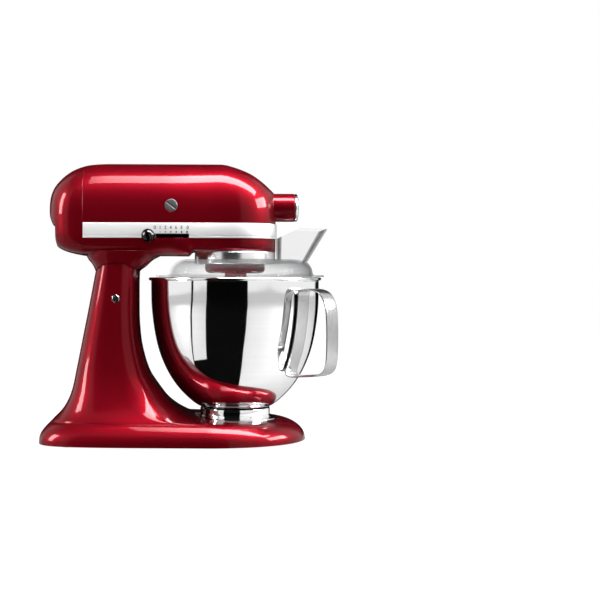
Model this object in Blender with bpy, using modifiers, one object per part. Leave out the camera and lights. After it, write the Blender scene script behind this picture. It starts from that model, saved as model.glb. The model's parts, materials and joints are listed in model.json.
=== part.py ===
"""Tilt-head stand mixer: base, tilting head with its motor and gear train, bowl and pouring shield.

The frame has +X towards the nose, +Z up, and its origin on the table under the middle of the outline.
Each sub-part is one object. Moving sub-parts hang on an empty that stands on their joint's axis.
"""

from math import atan2, cos, pi, radians, sin, sqrt, tan

import bmesh
import bpy
import numpy as np
from mathutils import Matrix, Vector

MM = 0.001
GAP = 0.3 * MM

# Overall layout
BOWL_X = 61.65 * MM
HINGE = Vector((-88.0, 0.0, 182.0)) * MM
MOTOR_Z = 297.6 * MM
HUB_Z = 298.0 * MM
SEAM_X = -128.0 * MM
SPLIT_Z = 266.0 * MM

# Head shell
HEAD_SIDES = 28
HOLLOW_SIDES = 18
HEAD_HALF_WIDTH = 58.0 * MM
NOSE_RADIUS = 52.0 * MM
COVER_LENGTH = 47.4 * MM
SHELL_WALL = 3.0 * MM
WIDEST_Z = 285.0 * MM
NOSE_FLOOR_Z = 250.5 * MM
POCKET_RADIUS = 48.2 * MM
POCKET_TOP_Z = 247.0 * MM

# Neck and tilt hinge
SEAM_RADIUS = 44.5 * MM
TONGUE_HALF = 18.0 * MM
PIN_RADIUS = 5.0 * MM
PIN_HALF = 49.4 * MM

# Cord inlet in the rear cover
GLAND_X = -140.0 * MM
GLAND_Z = 262.0 * MM

# Gear train: teeth and modules
CENTRE_TEETH = 38
PINION_TEETH = 12
SPUR_MODULE = 2.0 * MM
RING_TEETH = 44
PLANET_TEETH = 12
PLANET_MODULE = 1.5 * MM
WHEEL_TEETH = 20
WORM_MODULE = 1.8 * MM
WORM_RADIUS = 9.5 * MM
MITRE_TEETH = 12
MITRE_RADIUS = 22.0 * MM
MITRE_FACE = 0.743
TOOTH_FILL = 0.82

SPUR_DISTANCE = SPUR_MODULE * (CENTRE_TEETH + PINION_TEETH) / 2
WORM_PITCH = pi * WORM_MODULE
WHEEL_RADIUS = WORM_MODULE * WHEEL_TEETH / 2
COUNTER_Y = WORM_RADIUS + WHEEL_RADIUS
COUNTER_X = BOWL_X - sqrt(SPUR_DISTANCE**2 - COUNTER_Y**2)
PLANET_OFFSET = PLANET_MODULE * (RING_TEETH - PLANET_TEETH) / 2
PLANET_Y = -PLANET_OFFSET

# Bowl, handle and shield
BOWL_WALL = 1.3 * MM
SHIELD_WALL = 2.0 * MM
SLOT_HALF = 55.0 * MM
HANDLE_WIDTH = 24.0 * MM
HANDLE_THICK = 2.6 * MM
HANDLE_AZIMUTH = -42.0

parts = None
cutters = None
materials = {}


# ---------------------------------------------------------------- helpers


def clear_scene():
    for item in list(bpy.data.objects):
        bpy.data.objects.remove(item, do_unlink=True)


def new_collection(name):
    collection = bpy.data.collections.new(name)
    bpy.context.scene.collection.children.link(collection)
    return collection


def material(name, color, roughness, metallic, transmission=0.0):
    if name not in materials:
        made = bpy.data.materials.new(name)
        made.use_nodes = True
        shader = made.node_tree.nodes["Principled BSDF"]
        shader.inputs["Base Color"].default_value = (*color, 1.0)
        shader.inputs["Roughness"].default_value = roughness
        shader.inputs["Metallic"].default_value = metallic
        shader.inputs["Transmission Weight"].default_value = transmission
        made.diffuse_color = (*color, 1.0)
        materials[name] = made
    return materials[name]


def red_paint():
    return material("red_paint", (0.42, 0.008, 0.02), 0.18, 0.4)


def chrome():
    return material("chrome", (0.82, 0.83, 0.85), 0.06, 1.0)


def steel():
    return material("steel", (0.62, 0.62, 0.63), 0.22, 1.0)


def bronze():
    return material("bronze", (0.60, 0.42, 0.18), 0.30, 1.0)


def satin_silver():
    return material("satin_silver", (0.78, 0.78, 0.78), 0.35, 0.7)


def dark_plastic():
    return material("dark_plastic", (0.06, 0.065, 0.07), 0.40, 0.0)


def rubber():
    return material("rubber", (0.03, 0.03, 0.03), 0.80, 0.0)


def copper():
    return material("copper", (0.72, 0.35, 0.18), 0.35, 1.0)


def carbon():
    return material("carbon", (0.04, 0.04, 0.045), 0.60, 0.0)


def clear_plastic():
    return material("clear_plastic", (0.95, 0.96, 0.97), 0.05, 0.0, 1.0)


def axis_empty(name, position, parent=None):
    """An empty on a joint's axis, which carries the pieces that the joint moves."""
    empty = bpy.data.objects.new(name, None)
    parts.objects.link(empty)
    empty.location = position
    hang(empty, parent)
    return empty


def hang(item, parent):
    """Parents an object to an unrotated empty and keeps its place in the world."""
    if parent:
        item.parent = parent
        item.matrix_parent_inverse = Matrix.Translation(-parent.location)


def finish(name, bm, skin, parent, origin):
    """Turns a bmesh in world coordinates into an object whose origin is at origin."""
    bmesh.ops.recalc_face_normals(bm, faces=bm.faces)
    mesh = bpy.data.meshes.new(name)
    bm.to_mesh(mesh)
    bm.free()
    mesh.transform(Matrix.Translation(-Vector(origin)))
    mesh.shade_smooth()
    mesh.set_sharp_from_angle(angle=radians(35))
    item = bpy.data.objects.new(name, mesh)
    item.location = origin
    register(item, skin, parent)
    return item


def register(item, skin, parent):
    """A piece with a skin is a part. A piece without one is a cutter."""
    if skin:
        item.data.materials.append(skin)
        parts.objects.link(item)
        hang(item, parent)
    else:
        cutters.objects.link(item)
        item.hide_render = True
        item.display_type = "WIRE"


def loft(name, rings, skin=None, parent=None, origin=(0, 0, 0)):
    """A closed solid through rings of equal count, with a flat cap at each end."""
    bm = bmesh.new()
    loops = [[bm.verts.new(point) for point in ring] for ring in rings]
    count = len(rings[0])
    for low, high in zip(loops, loops[1:]):
        for i in range(count):
            j = (i + 1) % count
            bm.faces.new((low[i], low[j], high[j], high[i]))
    bm.faces.new(loops[0])
    bm.faces.new(loops[-1])
    return finish(name, bm, skin, parent, origin)


def prism(name, outline, axis, low, high, skin=None, parent=None, origin=(0, 0, 0)):
    """A flat outline extruded along X, Y or Z. The outline is in the other two axes, in order."""
    bm = bmesh.new()
    spot = "XYZ".index(axis)
    corners = []
    for point in outline:
        coordinates = list(point)
        coordinates.insert(spot, low)
        corners.append(bm.verts.new(coordinates))
    face = bm.faces.new(corners)
    pushed = bmesh.ops.extrude_face_region(bm, geom=[face])["geom"]
    move = Vector((0, 0, 0))
    move[spot] = high - low
    bmesh.ops.translate(bm, vec=move, verts=[v for v in pushed if isinstance(v, bmesh.types.BMVert)])
    return finish(name, bm, skin, parent, origin)


def box(name, low, high, skin=None, parent=None, origin=(0, 0, 0)):
    bm = bmesh.new()
    low = Vector(low)
    high = Vector(high)
    size = high - low
    bmesh.ops.create_cube(bm, size=1.0)
    bmesh.ops.scale(bm, vec=size, verts=bm.verts)
    bmesh.ops.translate(bm, vec=(low + high) / 2, verts=bm.verts)
    return finish(name, bm, skin, parent, origin)


def cylinder(name, radius, start, end, sides=24, skin=None, parent=None, origin=None):
    start = Vector(start)
    end = Vector(end)
    span = end - start
    turn = Vector((0, 0, 1)).rotation_difference(span.normalized()).to_matrix().to_4x4()
    place = Matrix.Translation((start + end) / 2) @ turn
    bm = bmesh.new()
    bmesh.ops.create_cone(
        bm, cap_ends=True, segments=sides, radius1=radius, radius2=radius, depth=span.length, matrix=place
    )
    return finish(name, bm, skin, parent, start if origin is None else origin)


def turned(name, profile, place, axis="Z", steps=24, closed=False, skin=None, parent=None):
    """A turned piece. The profile holds (radius, height) pairs and runs outwards, then down."""
    mesh = bpy.data.meshes.new(name)
    count = len(profile)
    edges = [(i, i + 1) for i in range(count - 1)]
    if closed:
        edges.append((count - 1, 0))
    mesh.from_pydata([(radius, 0.0, height) for radius, height in profile], edges, [])
    item = bpy.data.objects.new(name, mesh)
    item.location = place
    item.rotation_euler = {"X": (0, pi / 2, 0), "Y": (-pi / 2, 0, 0), "Z": (0, 0, 0)}[axis]
    register(item, skin, parent)
    screw = item.modifiers.new("turn", "SCREW")
    screw.steps = steps
    screw.render_steps = steps
    screw.use_smooth_shade = True
    screw.use_merge_vertices = True
    screw.merge_threshold = 0.00001
    return item


def ring_profile(inner, outer, low, high):
    return [(inner, high), (outer, high), (outer, low), (inner, low)]


def combine(target, other, operation):
    boolean = target.modifiers.new(other.name, "BOOLEAN")
    boolean.operation = operation
    boolean.solver = "EXACT"
    boolean.object = other


def cut(target, *others):
    for other in others:
        combine(target, other, "DIFFERENCE")


def join(target, *others):
    for other in others:
        combine(target, other, "UNION")


def keep(target, other):
    combine(target, other, "INTERSECT")


def power(value, exponent):
    return abs(value) ** exponent * (1 if value >= 0 else -1)


def scaled(points):
    return [tuple(number * MM for number in point) for point in points]


def about_hinge(radius, angle):
    """A point in the XZ plane around the tilt hinge. The angle runs from +Z towards +X."""
    return (HINGE.x + radius * sin(radians(angle)), HINGE.z + radius * cos(radians(angle)))


def offset_path(path, distance, closed=False):
    """The path moved sideways: to its right by distance."""
    points = [Vector(point) for point in path]
    last = len(points) - 1
    moved = []
    for i, point in enumerate(points):
        before = points[i - 1] if closed or i else point
        after = points[(i + 1) % len(points)] if closed or i < last else point
        along = (after - before).normalized()
        moved.append((point.x + along.y * distance, point.y - along.x * distance))
    return moved


# ---------------------------------------------------------------- base


# Height, rear end, front end, widest place, half width, front and rear roundness
BASE_SECTIONS = [
    (3.6, -183.6, 149.0, 30, 105.0, 2.15, 5.5),
    (9.0, -182.4, 148.0, 30, 104.6, 2.15, 5.5),
    (14.0, -179.5, 145.0, 30, 102.8, 2.15, 5.5),
    (19.0, -175.6, 140.2, 29, 100.0, 2.15, 5.5),
    (23.5, -171.8, 134.0, 28, 96.4, 2.15, 5.3),
    (27.0, -168.6, 125.0, 26, 92.6, 2.2, 5.0),
    (28.8, -166.6, 108.0, 20, 89.6, 2.25, 4.6),
    (30.0, -165.6, 60.0, 0, 87.4, 2.4, 4.4),
    (32.0, -164.2, 16.0, -26, 84.5, 2.6, 4.2),
    (37.0, -158.8, 2.0, -46, 79.5, 2.8, 3.9),
    (45.0, -152.0, -12.0, -60, 73.5, 3.0, 3.7),
    (55.0, -146.6, -24.0, -70, 68.0, 3.0, 3.5),
    (71.0, -141.6, -36.0, -78, 61.5, 3.0, 3.3),
    (87.0, -138.2, -46.6, -84, 56.8, 3.0, 3.2),
    (108.0, -134.6, -54.0, -88, 53.2, 3.0, 3.1),
    (133.0, -129.9, -59.0, -90, 51.0, 3.0, 3.0),
    (165.0, -124.0, -61.0, -90, 49.8, 3.0, 3.0),
    (195.0, -118.6, -61.0, -89, 49.0, 3.0, 3.0),
    (228.0, -112.6, -60.0, -88, 48.6, 3.0, 3.0),
]
BASE_SIDES = 32
BASE_WALL = 4.0
BASE_ROOF = 8.0
BASE_TAPER = 0.16
HOLLOW_TOP = 160.0


def base_ring(section, inset=0.0, height=None):
    """One level outline of the base: a superellipse that narrows towards the rear."""
    z, rear, front, widest, half, front_power, rear_power = section
    ring = []
    for i in range(BASE_SIDES):
        angle = 2 * pi * i / BASE_SIDES
        ahead = cos(angle) >= 0
        roundness = front_power if ahead else rear_power
        reach = (front - widest - inset) if ahead else (widest - rear - inset)
        x = power(cos(angle), 2 / roundness)
        narrowing = 1.0 if ahead else 1 - BASE_TAPER * abs(x) * min(1.0, (half - 48) / 50)
        y = power(sin(angle), 2 / roundness) * (half - inset) * narrowing
        ring.append(((widest + reach * x) * MM, y * MM, (z if height is None else height) * MM))
    return ring


def base_casting():
    casting = loft("base_casting", [base_ring(s) for s in BASE_SECTIONS], red_paint())
    inner = [base_ring(BASE_SECTIONS[0], BASE_WALL, -5.0)]
    for section in BASE_SECTIONS[2::2]:
        if section[0] < HOLLOW_TOP:
            inner.append(base_ring(section, BASE_WALL, section[0] - BASE_ROOF))
    cut(casting, loft("base_hollow", inner))
    for x, y, roof in FOOT_PLACES:
        boss = cylinder(f"foot_boss_{x:.0f}_{y:.0f}", 10 * MM, (x * MM, y * MM, 3.9 * MM),
                        (x * MM, y * MM, roof * MM), 12)
        join(casting, boss)
        hole = cylinder(f"foot_hole_{x:.0f}_{y:.0f}", 3.3 * MM, (x * MM, y * MM, 0),
                        (x * MM, y * MM, 12 * MM), 12)
        cut(casting, hole)
    seat = (BOWL_X, 0, 24.3 * MM)
    cut(casting, cylinder("plate_seat", 53.2 * MM, seat, (BOWL_X, 0, 42 * MM), 48))
    for x, y in clamp_screw_places():
        hole = cylinder(f"clamp_hole_{x:.3f}_{y:.3f}", 2.4 * MM, (x, y, 15 * MM), (x, y, 30 * MM), 12)
        cut(casting, hole)
    arc = [about_hinge(SEAM_RADIUS - 0.2 * MM, angle) for angle in np.linspace(-76, 76, 27)]
    arc += [(HINGE.x + 62 * MM, 260 * MM), (HINGE.x - 62 * MM, 260 * MM)]
    cut(casting, prism("column_top_cut", arc, "Y", -80 * MM, 80 * MM))
    slot = [about_hinge(60 * MM, -30.5), about_hinge(60 * MM, 31)]
    slot += [about_hinge(17.5 * MM, angle) for angle in range(52, 312, 20)]
    slot_half = TONGUE_HALF + 1.5 * MM
    cut(casting, prism("tongue_slot", slot, "Y", -slot_half, slot_half))
    bore = cylinder("pin_bore", PIN_RADIUS + GAP, (HINGE.x, -70 * MM, HINGE.z),
                    (HINGE.x, 70 * MM, HINGE.z), 20)
    cut(casting, bore)
    cut(casting, box("lock_slot", (-102.5 * MM, 29 * MM, 203.4 * MM), (-76.5 * MM, 60 * MM, 208.6 * MM)))


# Place of each foot, and the height at which its boss runs into the casting's roof
FOOT_PLACES = [(108, 54, 20), (108, -54, 20), (-146, 58, 22), (-146, -58, 22), (124, 0, 20)]


def rubber_feet():
    profile = scaled([(0, 9), (3, 9), (3, 3.5), (9, 3.5), (8.4, 0), (0, 0)])
    for number, (x, y, _) in enumerate(FOOT_PLACES, start=1):
        turned(f"foot_{number}", profile, (x * MM, y * MM, 0), steps=12, skin=rubber())


def clamp_screw_places():
    circle = 28 * MM
    return [(BOWL_X + circle * cos(radians(a)), circle * sin(radians(a))) for a in (10, 130, 250)]


def bowl_clamp_plate():
    """The plate that the bowl's foot screws into: a disc with an undercut rim and two ways in."""
    profile = scaled([(0, 26.4), (49.4, 26.4), (49.4, 28.5), (46.4, 28.5), (46.4, 29.6), (46.9, 30),
                      (51.6, 30), (52.8, 29), (52.8, 24.6), (0, 24.6)])
    plate = turned("bowl_clamp_plate", profile, (BOWL_X, 0, 0), steps=32, skin=chrome())
    for side, centre in (("front", 55), ("rear", 235)):
        wedge = []
        for radius, angle in ((20, 0), (49.1, -25), (49.6, 0), (49.1, 25)):
            a = radians(centre + angle)
            wedge.append((BOWL_X + radius * MM * cos(a), radius * MM * sin(a)))
        cut(plate, prism(f"bayonet_way_{side}", wedge, "Z", 27 * MM, 33 * MM))
    for x, y in clamp_screw_places():
        cut(plate, cylinder(f"plate_hole_{x:.3f}_{y:.3f}", 2.4 * MM, (x, y, 20 * MM), (x, y, 30 * MM), 12))


def clamp_screws():
    profile = scaled([(0, 28.6), (3, 28.4), (4.2, 26.7), (2, 26.7), (2, 17), (0, 17)])
    for number, (x, y) in enumerate(clamp_screw_places(), start=1):
        turned(f"clamp_screw_{number}", profile, (x, y, 0), steps=12, skin=steel())


def hinge_pin():
    pin = cylinder("hinge_pin", PIN_RADIUS, (HINGE.x, -PIN_HALF, HINGE.z), (HINGE.x, PIN_HALF, HINGE.z),
                   20, chrome(), None, HINGE)
    slot = box("pin_slot", (-0.7 * MM, -PIN_HALF - MM, -6 * MM), (0.7 * MM, -PIN_HALF + 1.2 * MM, 6 * MM))
    slot.location = (HINGE.x, 0, HINGE.z)
    cut(pin, slot)


def lock_lever(parent):
    """The catch that locks the head down: a tab outside the column on a stem through its slot."""
    tab = [(-90, 201), (-76, 201), (-74, 206), (-76, 211), (-90, 211), (-92, 206)]
    lever = prism("lock_lever", scaled(tab), "Y", 49.6 * MM, 57 * MM, dark_plastic(), parent,
                  (-83 * MM, 40 * MM, 206 * MM))
    join(lever, box("lock_stem", (-86 * MM, 31 * MM, 203.9 * MM), (-80 * MM, 52 * MM, 208.1 * MM)))


# ---------------------------------------------------------------- head shell


HEAD_TOP = [(-175.2, 300), (-174.6, 308), (-172.5, 316), (-168.5, 324.5), (-162, 333), (-153, 341.5),
            (-143, 348), (-135, 351.4), (-127, 353), (42, 353), (50, 352.2), (58, 350), (67.5, 346.9),
            (77, 343), (84, 339.4), (90, 335.3), (96, 330.8), (101, 326.5), (109, 319), (113.6, 314)]
HEAD_BOTTOM = [(-175.2, 297), (-174.6, 290), (-173, 281.5), (-170.3, 274), (-167.4, 268.5), (-167.1, 254),
               (-165.8, 249), (-162, 245.6), (-147, 241), (-133, 237), (-127, 236), (2, 236), (8.5, 241),
               (113.6, 241)]
HEAD_STATIONS = [-175.2, -174.2, -172.5, -170.3, -167.4, -167.1, -165.8, -162, -153, -143, -135, -127,
                 -35, -10, 2, 8.5, 30, 42, 52, 62, 72, 82, 90, 97, 103, 108, 111.5, 113.4]
HOLLOW_STATIONS = [-170.8, -167, -160, -148, -127, -35, -10, 4, 7.5, 30, 52, 70, 84, 95, 103, 109.3]


def half_width(x, inset=0.0):
    """Half the head's width at x: round nose, slightly wider motor end, rounded rear cover."""
    nose = x - BOWL_X
    radius = NOSE_RADIUS - inset
    if nose > 0:
        return sqrt(max(radius**2 - nose**2, (0.8 * MM) ** 2))
    grow = min(-nose / (90 * MM), 1.0)
    grow = grow * grow * (3 - 2 * grow)
    half = radius + (HEAD_HALF_WIDTH - NOSE_RADIUS) * grow
    behind = (SEAM_X - x) / (COVER_LENGTH - inset / 2)
    if behind > 0:
        half *= max(1 - min(behind, 1.0) ** 2.6, 0.0) ** (1 / 2.6)
    return max(half, 4 * MM)


def head_ring(x, inset=0.0, sides=HEAD_SIDES):
    """The head's section at x: round on top and squarer below, most of all at the nose."""
    top = np.interp(x, *np.array(HEAD_TOP).T * MM) - inset
    bottom = np.interp(x, *np.array(HEAD_BOTTOM).T * MM) + inset
    if inset and x > 7 * MM:
        bottom = NOSE_FLOOR_Z
    half = half_width(x, inset)
    middle = min(max(WIDEST_Z, bottom + MM), top - MM)
    squareness = np.interp(x, (-20 * MM, 8 * MM), (5.0, 14.0))
    ring = []
    for i in range(sides):
        angle = 2 * pi * i / sides
        roundness = 2.3 if sin(angle) >= 0 else squareness
        y = half * power(cos(angle), 2 / roundness)
        rise = power(sin(angle), 2 / roundness)
        z = middle + rise * (top - middle if rise > 0 else middle - bottom)
        ring.append((x, y, z))
    return ring


def head_solid(name, skin=None, parent=None, origin=(0, 0, 0)):
    return loft(name, [head_ring(x * MM) for x in HEAD_STATIONS], skin, parent, origin)


def head_hollow():
    return loft("head_hollow", [head_ring(x * MM, SHELL_WALL, HOLLOW_SIDES) for x in HOLLOW_STATIONS])


# Height, rear end, front end and half width of the neck under the head
NECK_SECTIONS = [(206, -114.6, -60.2, 48.6), (217, -116.0, -60.0, 48.6), (221, -117.6, -54.8, 49.0),
                 (225.5, -120.0, -49.6, 49.8), (231, -124.6, -43.6, 51.2), (236, -127.0, -34.0, 53.0),
                 (242, -127.4, -28.0, 55.0)]


def neck_ring(section):
    z, rear, front, half = section
    middle = (rear + front) / 2
    ring = []
    for i in range(36):
        angle = 2 * pi * i / 36
        x = middle + (front - rear) / 2 * power(cos(angle), 2 / 3)
        ring.append((x * MM, half * power(sin(angle), 2 / 3) * MM, z * MM))
    return ring


def gearcase(parent, hollow):
    """The lower half of the head, with the neck and the tongue that swings on the hinge pin."""
    case = head_solid("gearcase", red_paint(), parent, HINGE)
    keep(case, box("gearcase_block", (SEAM_X, -0.1, 0.18), (0.13, 0.1, SPLIT_Z - GAP / 2)))
    join(case, loft("neck", [neck_ring(section) for section in NECK_SECTIONS]))
    cut(case, cylinder("neck_arc", SEAM_RADIUS + 0.2 * MM, (HINGE.x, -0.08, HINGE.z),
                       (HINGE.x, 0.08, HINGE.z), 64))
    cut(case, hollow)
    tongue = [about_hinge(52 * MM, 12), about_hinge(52 * MM, 28)]
    tongue += [about_hinge(15 * MM, angle) for angle in range(45, 360, 20)]
    join(case, prism("tongue", tongue, "Y", -TONGUE_HALF, TONGUE_HALF))
    cut(case, cylinder("tongue_bore", PIN_RADIUS + GAP, (HINGE.x, -30 * MM, HINGE.z),
                       (HINGE.x, 30 * MM, HINGE.z), 20))
    cut(case, cylinder("gear_pocket", POCKET_RADIUS, (BOWL_X, 0, 0.2), (BOWL_X, 0, POCKET_TOP_Z), 48))
    cut(case, cylinder("bearing_bore", 11.1 * MM, (BOWL_X, 0, 0.23), (BOWL_X, 0, 0.26), 24))
    cut(case, box("speed_slot_case", (-50.5 * MM, -70 * MM, 257.3 * MM), (3 * MM, -40 * MM, 262.7 * MM)))


def motor_housing(parent, hollow):
    """The upper half of the head, with the attachment hub's barrel on its nose."""
    housing = head_solid("motor_housing", red_paint(), parent, HINGE)
    keep(housing, box("housing_block", (SEAM_X, -0.1, SPLIT_Z + GAP / 2), (0.13, 0.1, 0.36)))
    join(housing, cylinder("hub_barrel", 18 * MM, (0.09, 0, HUB_Z), (138 * MM, 0, HUB_Z), 32))
    cut(housing, hollow)
    cut(housing, cylinder("hub_bore", 14.1 * MM, (0.08, 0, HUB_Z), (0.15, 0, HUB_Z), 32))
    cut(housing, cylinder("brush_bore", 8.1 * MM, (-19 * MM, -0.08, MOTOR_Z), (-19 * MM, 0.08, MOTOR_Z), 24))
    cut(housing, cylinder("knob_bore", 3.4 * MM, (128 * MM, 5 * MM, HUB_Z), (128 * MM, 25 * MM, HUB_Z), 12))
    ear = scaled([(130, 10), (137.6, 10), (137.6, 18), (142.6, 18), (142.6, 23), (138, 23), (130, 18)])
    for side, low in (("lower", -14 * MM), ("upper", 11 * MM)):
        join(housing, prism(f"cap_ear_{side}", ear, "Z", HUB_Z + low, HUB_Z + low + 3 * MM))
    cut(housing, cylinder("cap_pin_bore", 1.5 * MM, (CAP_HINGE[0], CAP_HINGE[1], HUB_Z - 20 * MM),
                          (CAP_HINGE[0], CAP_HINGE[1], HUB_Z + 20 * MM), 12))


CAP_HINGE = (140.4 * MM, 20.6 * MM, HUB_Z)


def rear_cover(parent, hollow):
    cover = head_solid("rear_cover", red_paint(), parent, HINGE)
    keep(cover, box("cover_block", (-0.18, -0.1, 0.2), (SEAM_X - GAP, 0.1, 0.36)))
    cut(cover, hollow)
    cut(cover, cylinder("cover_screw_hole", 2.3 * MM, (-0.18, 0, 261 * MM), (-0.15, 0, 261 * MM), 12))
    cut(cover, cylinder("gland_hole", 7.3 * MM, (GLAND_X, 0.04, GLAND_Z), (GLAND_X, 0.07, GLAND_Z), 20))


def rear_cover_screw(parent):
    profile = scaled([(0, 14), (1.9, 14), (1.9, 0), (3.8, 0), (3.2, -1.8), (0, -2.2)])
    turned("rear_cover_screw", profile, (-167.5 * MM, 0, 261 * MM), "X", 12, False, steel(), parent)


def cord_gland(parent):
    """The inlet where the mains cord enters on the far side, with a bore for the cord."""
    profile = scaled([(3.9, 68), (5.8, 68), (9, 60.4), (9, 58.6), (7, 58.6), (7, 48.5), (9, 48.5), (9, 45),
                      (3.9, 45)])
    turned("cord_gland", profile, (GLAND_X, 0, GLAND_Z), "Y", 20, True, dark_plastic(), parent)


def trim_band(parent):
    """The silver band round the head, with the notch that the speed lever runs in."""
    def path(outwards):
        side = [(x * MM, -half_width(x * MM) - outwards) for x in (-127.6, -95, -60, -25, 10, 35)]
        nose = []
        for angle in np.linspace(-90, 90, 23):
            reach = NOSE_RADIUS + outwards
            nose.append((BOWL_X + reach * cos(radians(angle)), reach * sin(radians(angle))))
        return side + nose + [(x, -y) for x, y in reversed(side)]
    outline = path(1.5 * MM) + list(reversed(path(0.4 * MM)))
    band = prism("trim_band", outline, "Z", 257.4 * MM, 276.2 * MM, satin_silver(), parent, HINGE)
    cut(band, box("speed_slot_band", (-50.5 * MM, -70 * MM, 250 * MM), (3 * MM, -40 * MM, 262.7 * MM)))


def brush_caps(parent):
    """Slotted caps that hold the carbon brushes, one each side."""
    for side, sign in (("left", -1), ("right", 1)):
        start = (-19 * MM, sign * 45 * MM, MOTOR_Z)
        end = (-19 * MM, sign * 58.8 * MM, MOTOR_Z)
        cap = cylinder(f"brush_cap_{side}", 7.8 * MM, start, end, 24, dark_plastic(), parent)
        slot = box(f"brush_slot_{side}", (-9 * MM, -1.4 * MM, -1.1 * MM), (9 * MM, 1.4 * MM, 1.1 * MM))
        slot.location = end
        slot.rotation_euler = (0, radians(37), 0)
        cut(cap, slot)
        low = min(sign * 11.9, sign * 44.6) * MM
        high = max(sign * 11.9, sign * 44.6) * MM
        box(f"carbon_brush_{side}", (-22 * MM, low, MOTOR_Z - 4 * MM), (-16 * MM, high, MOTOR_Z + 4 * MM),
            carbon(), parent, start)


def drip_ring(parent):
    profile = scaled([(48.8, 240.6), (51.7, 240.6), (51.7, 226.4), (50.8, 225.6), (46.5, 225.6),
                      (46.5, 227.4), (49.2, 228.4)])
    turned("drip_ring", profile, (BOWL_X, 0, 0), steps=40, closed=True, skin=chrome(), parent=parent)


# ---------------------------------------------------------------- motor and gear train


def gear_outline(teeth, pitch, addendum, dedendum, fill, clock, centre=(0.0, 0.0)):
    """A gear's outline with straight-sided teeth, one of them centred at the angle clock (radians)."""
    half = fill * pi / (2 * teeth)
    tip = half - addendum * tan(radians(20)) / pitch
    root = half + dedendum * tan(radians(16)) / pitch
    outline = []
    for i in range(teeth):
        middle = clock + 2 * pi * i / teeth
        for radius, angle in ((pitch - dedendum, middle - root), (pitch + addendum, middle - tip),
                              (pitch + addendum, middle + tip), (pitch - dedendum, middle + root)):
            outline.append((centre[0] + radius * cos(angle), centre[1] + radius * sin(angle)))
    return outline


def spur_gear(name, teeth, module, clock, centre, low, high, bore, skin, parent):
    outline = gear_outline(teeth, teeth * module / 2, 0.9 * module, 1.2 * module, TOOTH_FILL, clock, centre)
    gear = prism(name, outline, "Z", low, high, skin, parent, (centre[0], centre[1], low))
    cut(gear, cylinder(name + "_bore", bore, (*centre, low - MM), (*centre, high + MM), 16))


def motor_frame(parent):
    """The parts of the motor that stand still in the head."""
    place = (0, 0, MOTOR_Z)
    turned("motor_field", ring_profile(26.5 * MM, 43 * MM, -95 * MM, -47 * MM), place, "X", 32, True,
           steel(), parent)
    turned("field_winding_rear", ring_profile(29 * MM, 40 * MM, -101 * MM, -95.3 * MM), place, "X", 24, True,
           copper(), parent)
    turned("field_winding_front", ring_profile(29 * MM, 40 * MM, -46.7 * MM, -42 * MM), place, "X", 24, True,
           copper(), parent)
    turned("rear_bearing", ring_profile(4.3 * MM, 9 * MM, -122 * MM, -115 * MM), place, "X", 16, True,
           bronze(), parent)
    turned("front_bearing", ring_profile(4.3 * MM, 9 * MM, 38 * MM, 45 * MM), place, "X", 16, True,
           bronze(), parent)
    turned("shaft_bearing", ring_profile(6.3 * MM, 10.8 * MM, 247.6 * MM, 255 * MM), (BOWL_X, 0, 0), "Z", 24,
           True, bronze(), parent)
    turned("hub_bushing", ring_profile(9.3 * MM, 13.8 * MM, 107 * MM, 116 * MM), (0, 0, HUB_Z), "X", 24,
           True, bronze(), parent)
    box("speed_control_plate", (-140 * MM, -30 * MM, 268 * MM), (-137 * MM, 30 * MM, 322 * MM),
        dark_plastic(), parent, HINGE)
    cylinder("hub_cap_pin", 1.2 * MM, (CAP_HINGE[0], CAP_HINGE[1], HUB_Z - 14 * MM),
             (CAP_HINGE[0], CAP_HINGE[1], HUB_Z + 14 * MM), 12, steel(), parent)
    ring = cylinder("ring_gear", POCKET_RADIUS - GAP, (BOWL_X, 0, 237.6 * MM), (BOWL_X, 0, 246.6 * MM), 48,
                    steel(), parent)
    gaps = gear_outline(RING_TEETH, RING_TEETH * PLANET_MODULE / 2, 1.2 * PLANET_MODULE, 0.9 * PLANET_MODULE,
                        2 - TOOTH_FILL, -pi / 2, (BOWL_X, 0.0))
    cut(ring, prism("ring_gear_space", gaps, "Z", 0.23, 0.25))


def armature(parent):
    """The motor's rotor on the long shaft: core, commutator, fan and the worm that drives the gears."""
    place = (0, 0, MOTOR_Z)
    shaft = [(0, 46 * MM), (4 * MM, 46 * MM), (4 * MM, -124 * MM), (0, -124 * MM)]
    turned("armature_shaft", shaft, place, "X", 16, False, steel(), parent)
    turned("armature_core", ring_profile(4.3 * MM, 25.5 * MM, -95 * MM, -47 * MM), place, "X", 24, True,
           copper(), parent)
    turned("commutator", ring_profile(4.3 * MM, 11.4 * MM, -27 * MM, -11 * MM), place, "X", 24, True,
           copper(), parent)
    blades = gear_outline(9, 20 * MM, 8 * MM, 8 * MM, 1.1, 0.0, (0.0, MOTOR_Z))
    fan = prism("motor_fan", blades, "X", -39 * MM, -32 * MM, dark_plastic(), parent, (-39 * MM, 0, MOTOR_Z))
    cut(fan, cylinder("fan_bore", 4.3 * MM, (-45 * MM, 0, MOTOR_Z), (-25 * MM, 0, MOTOR_Z), 16))
    worm(parent)


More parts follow.
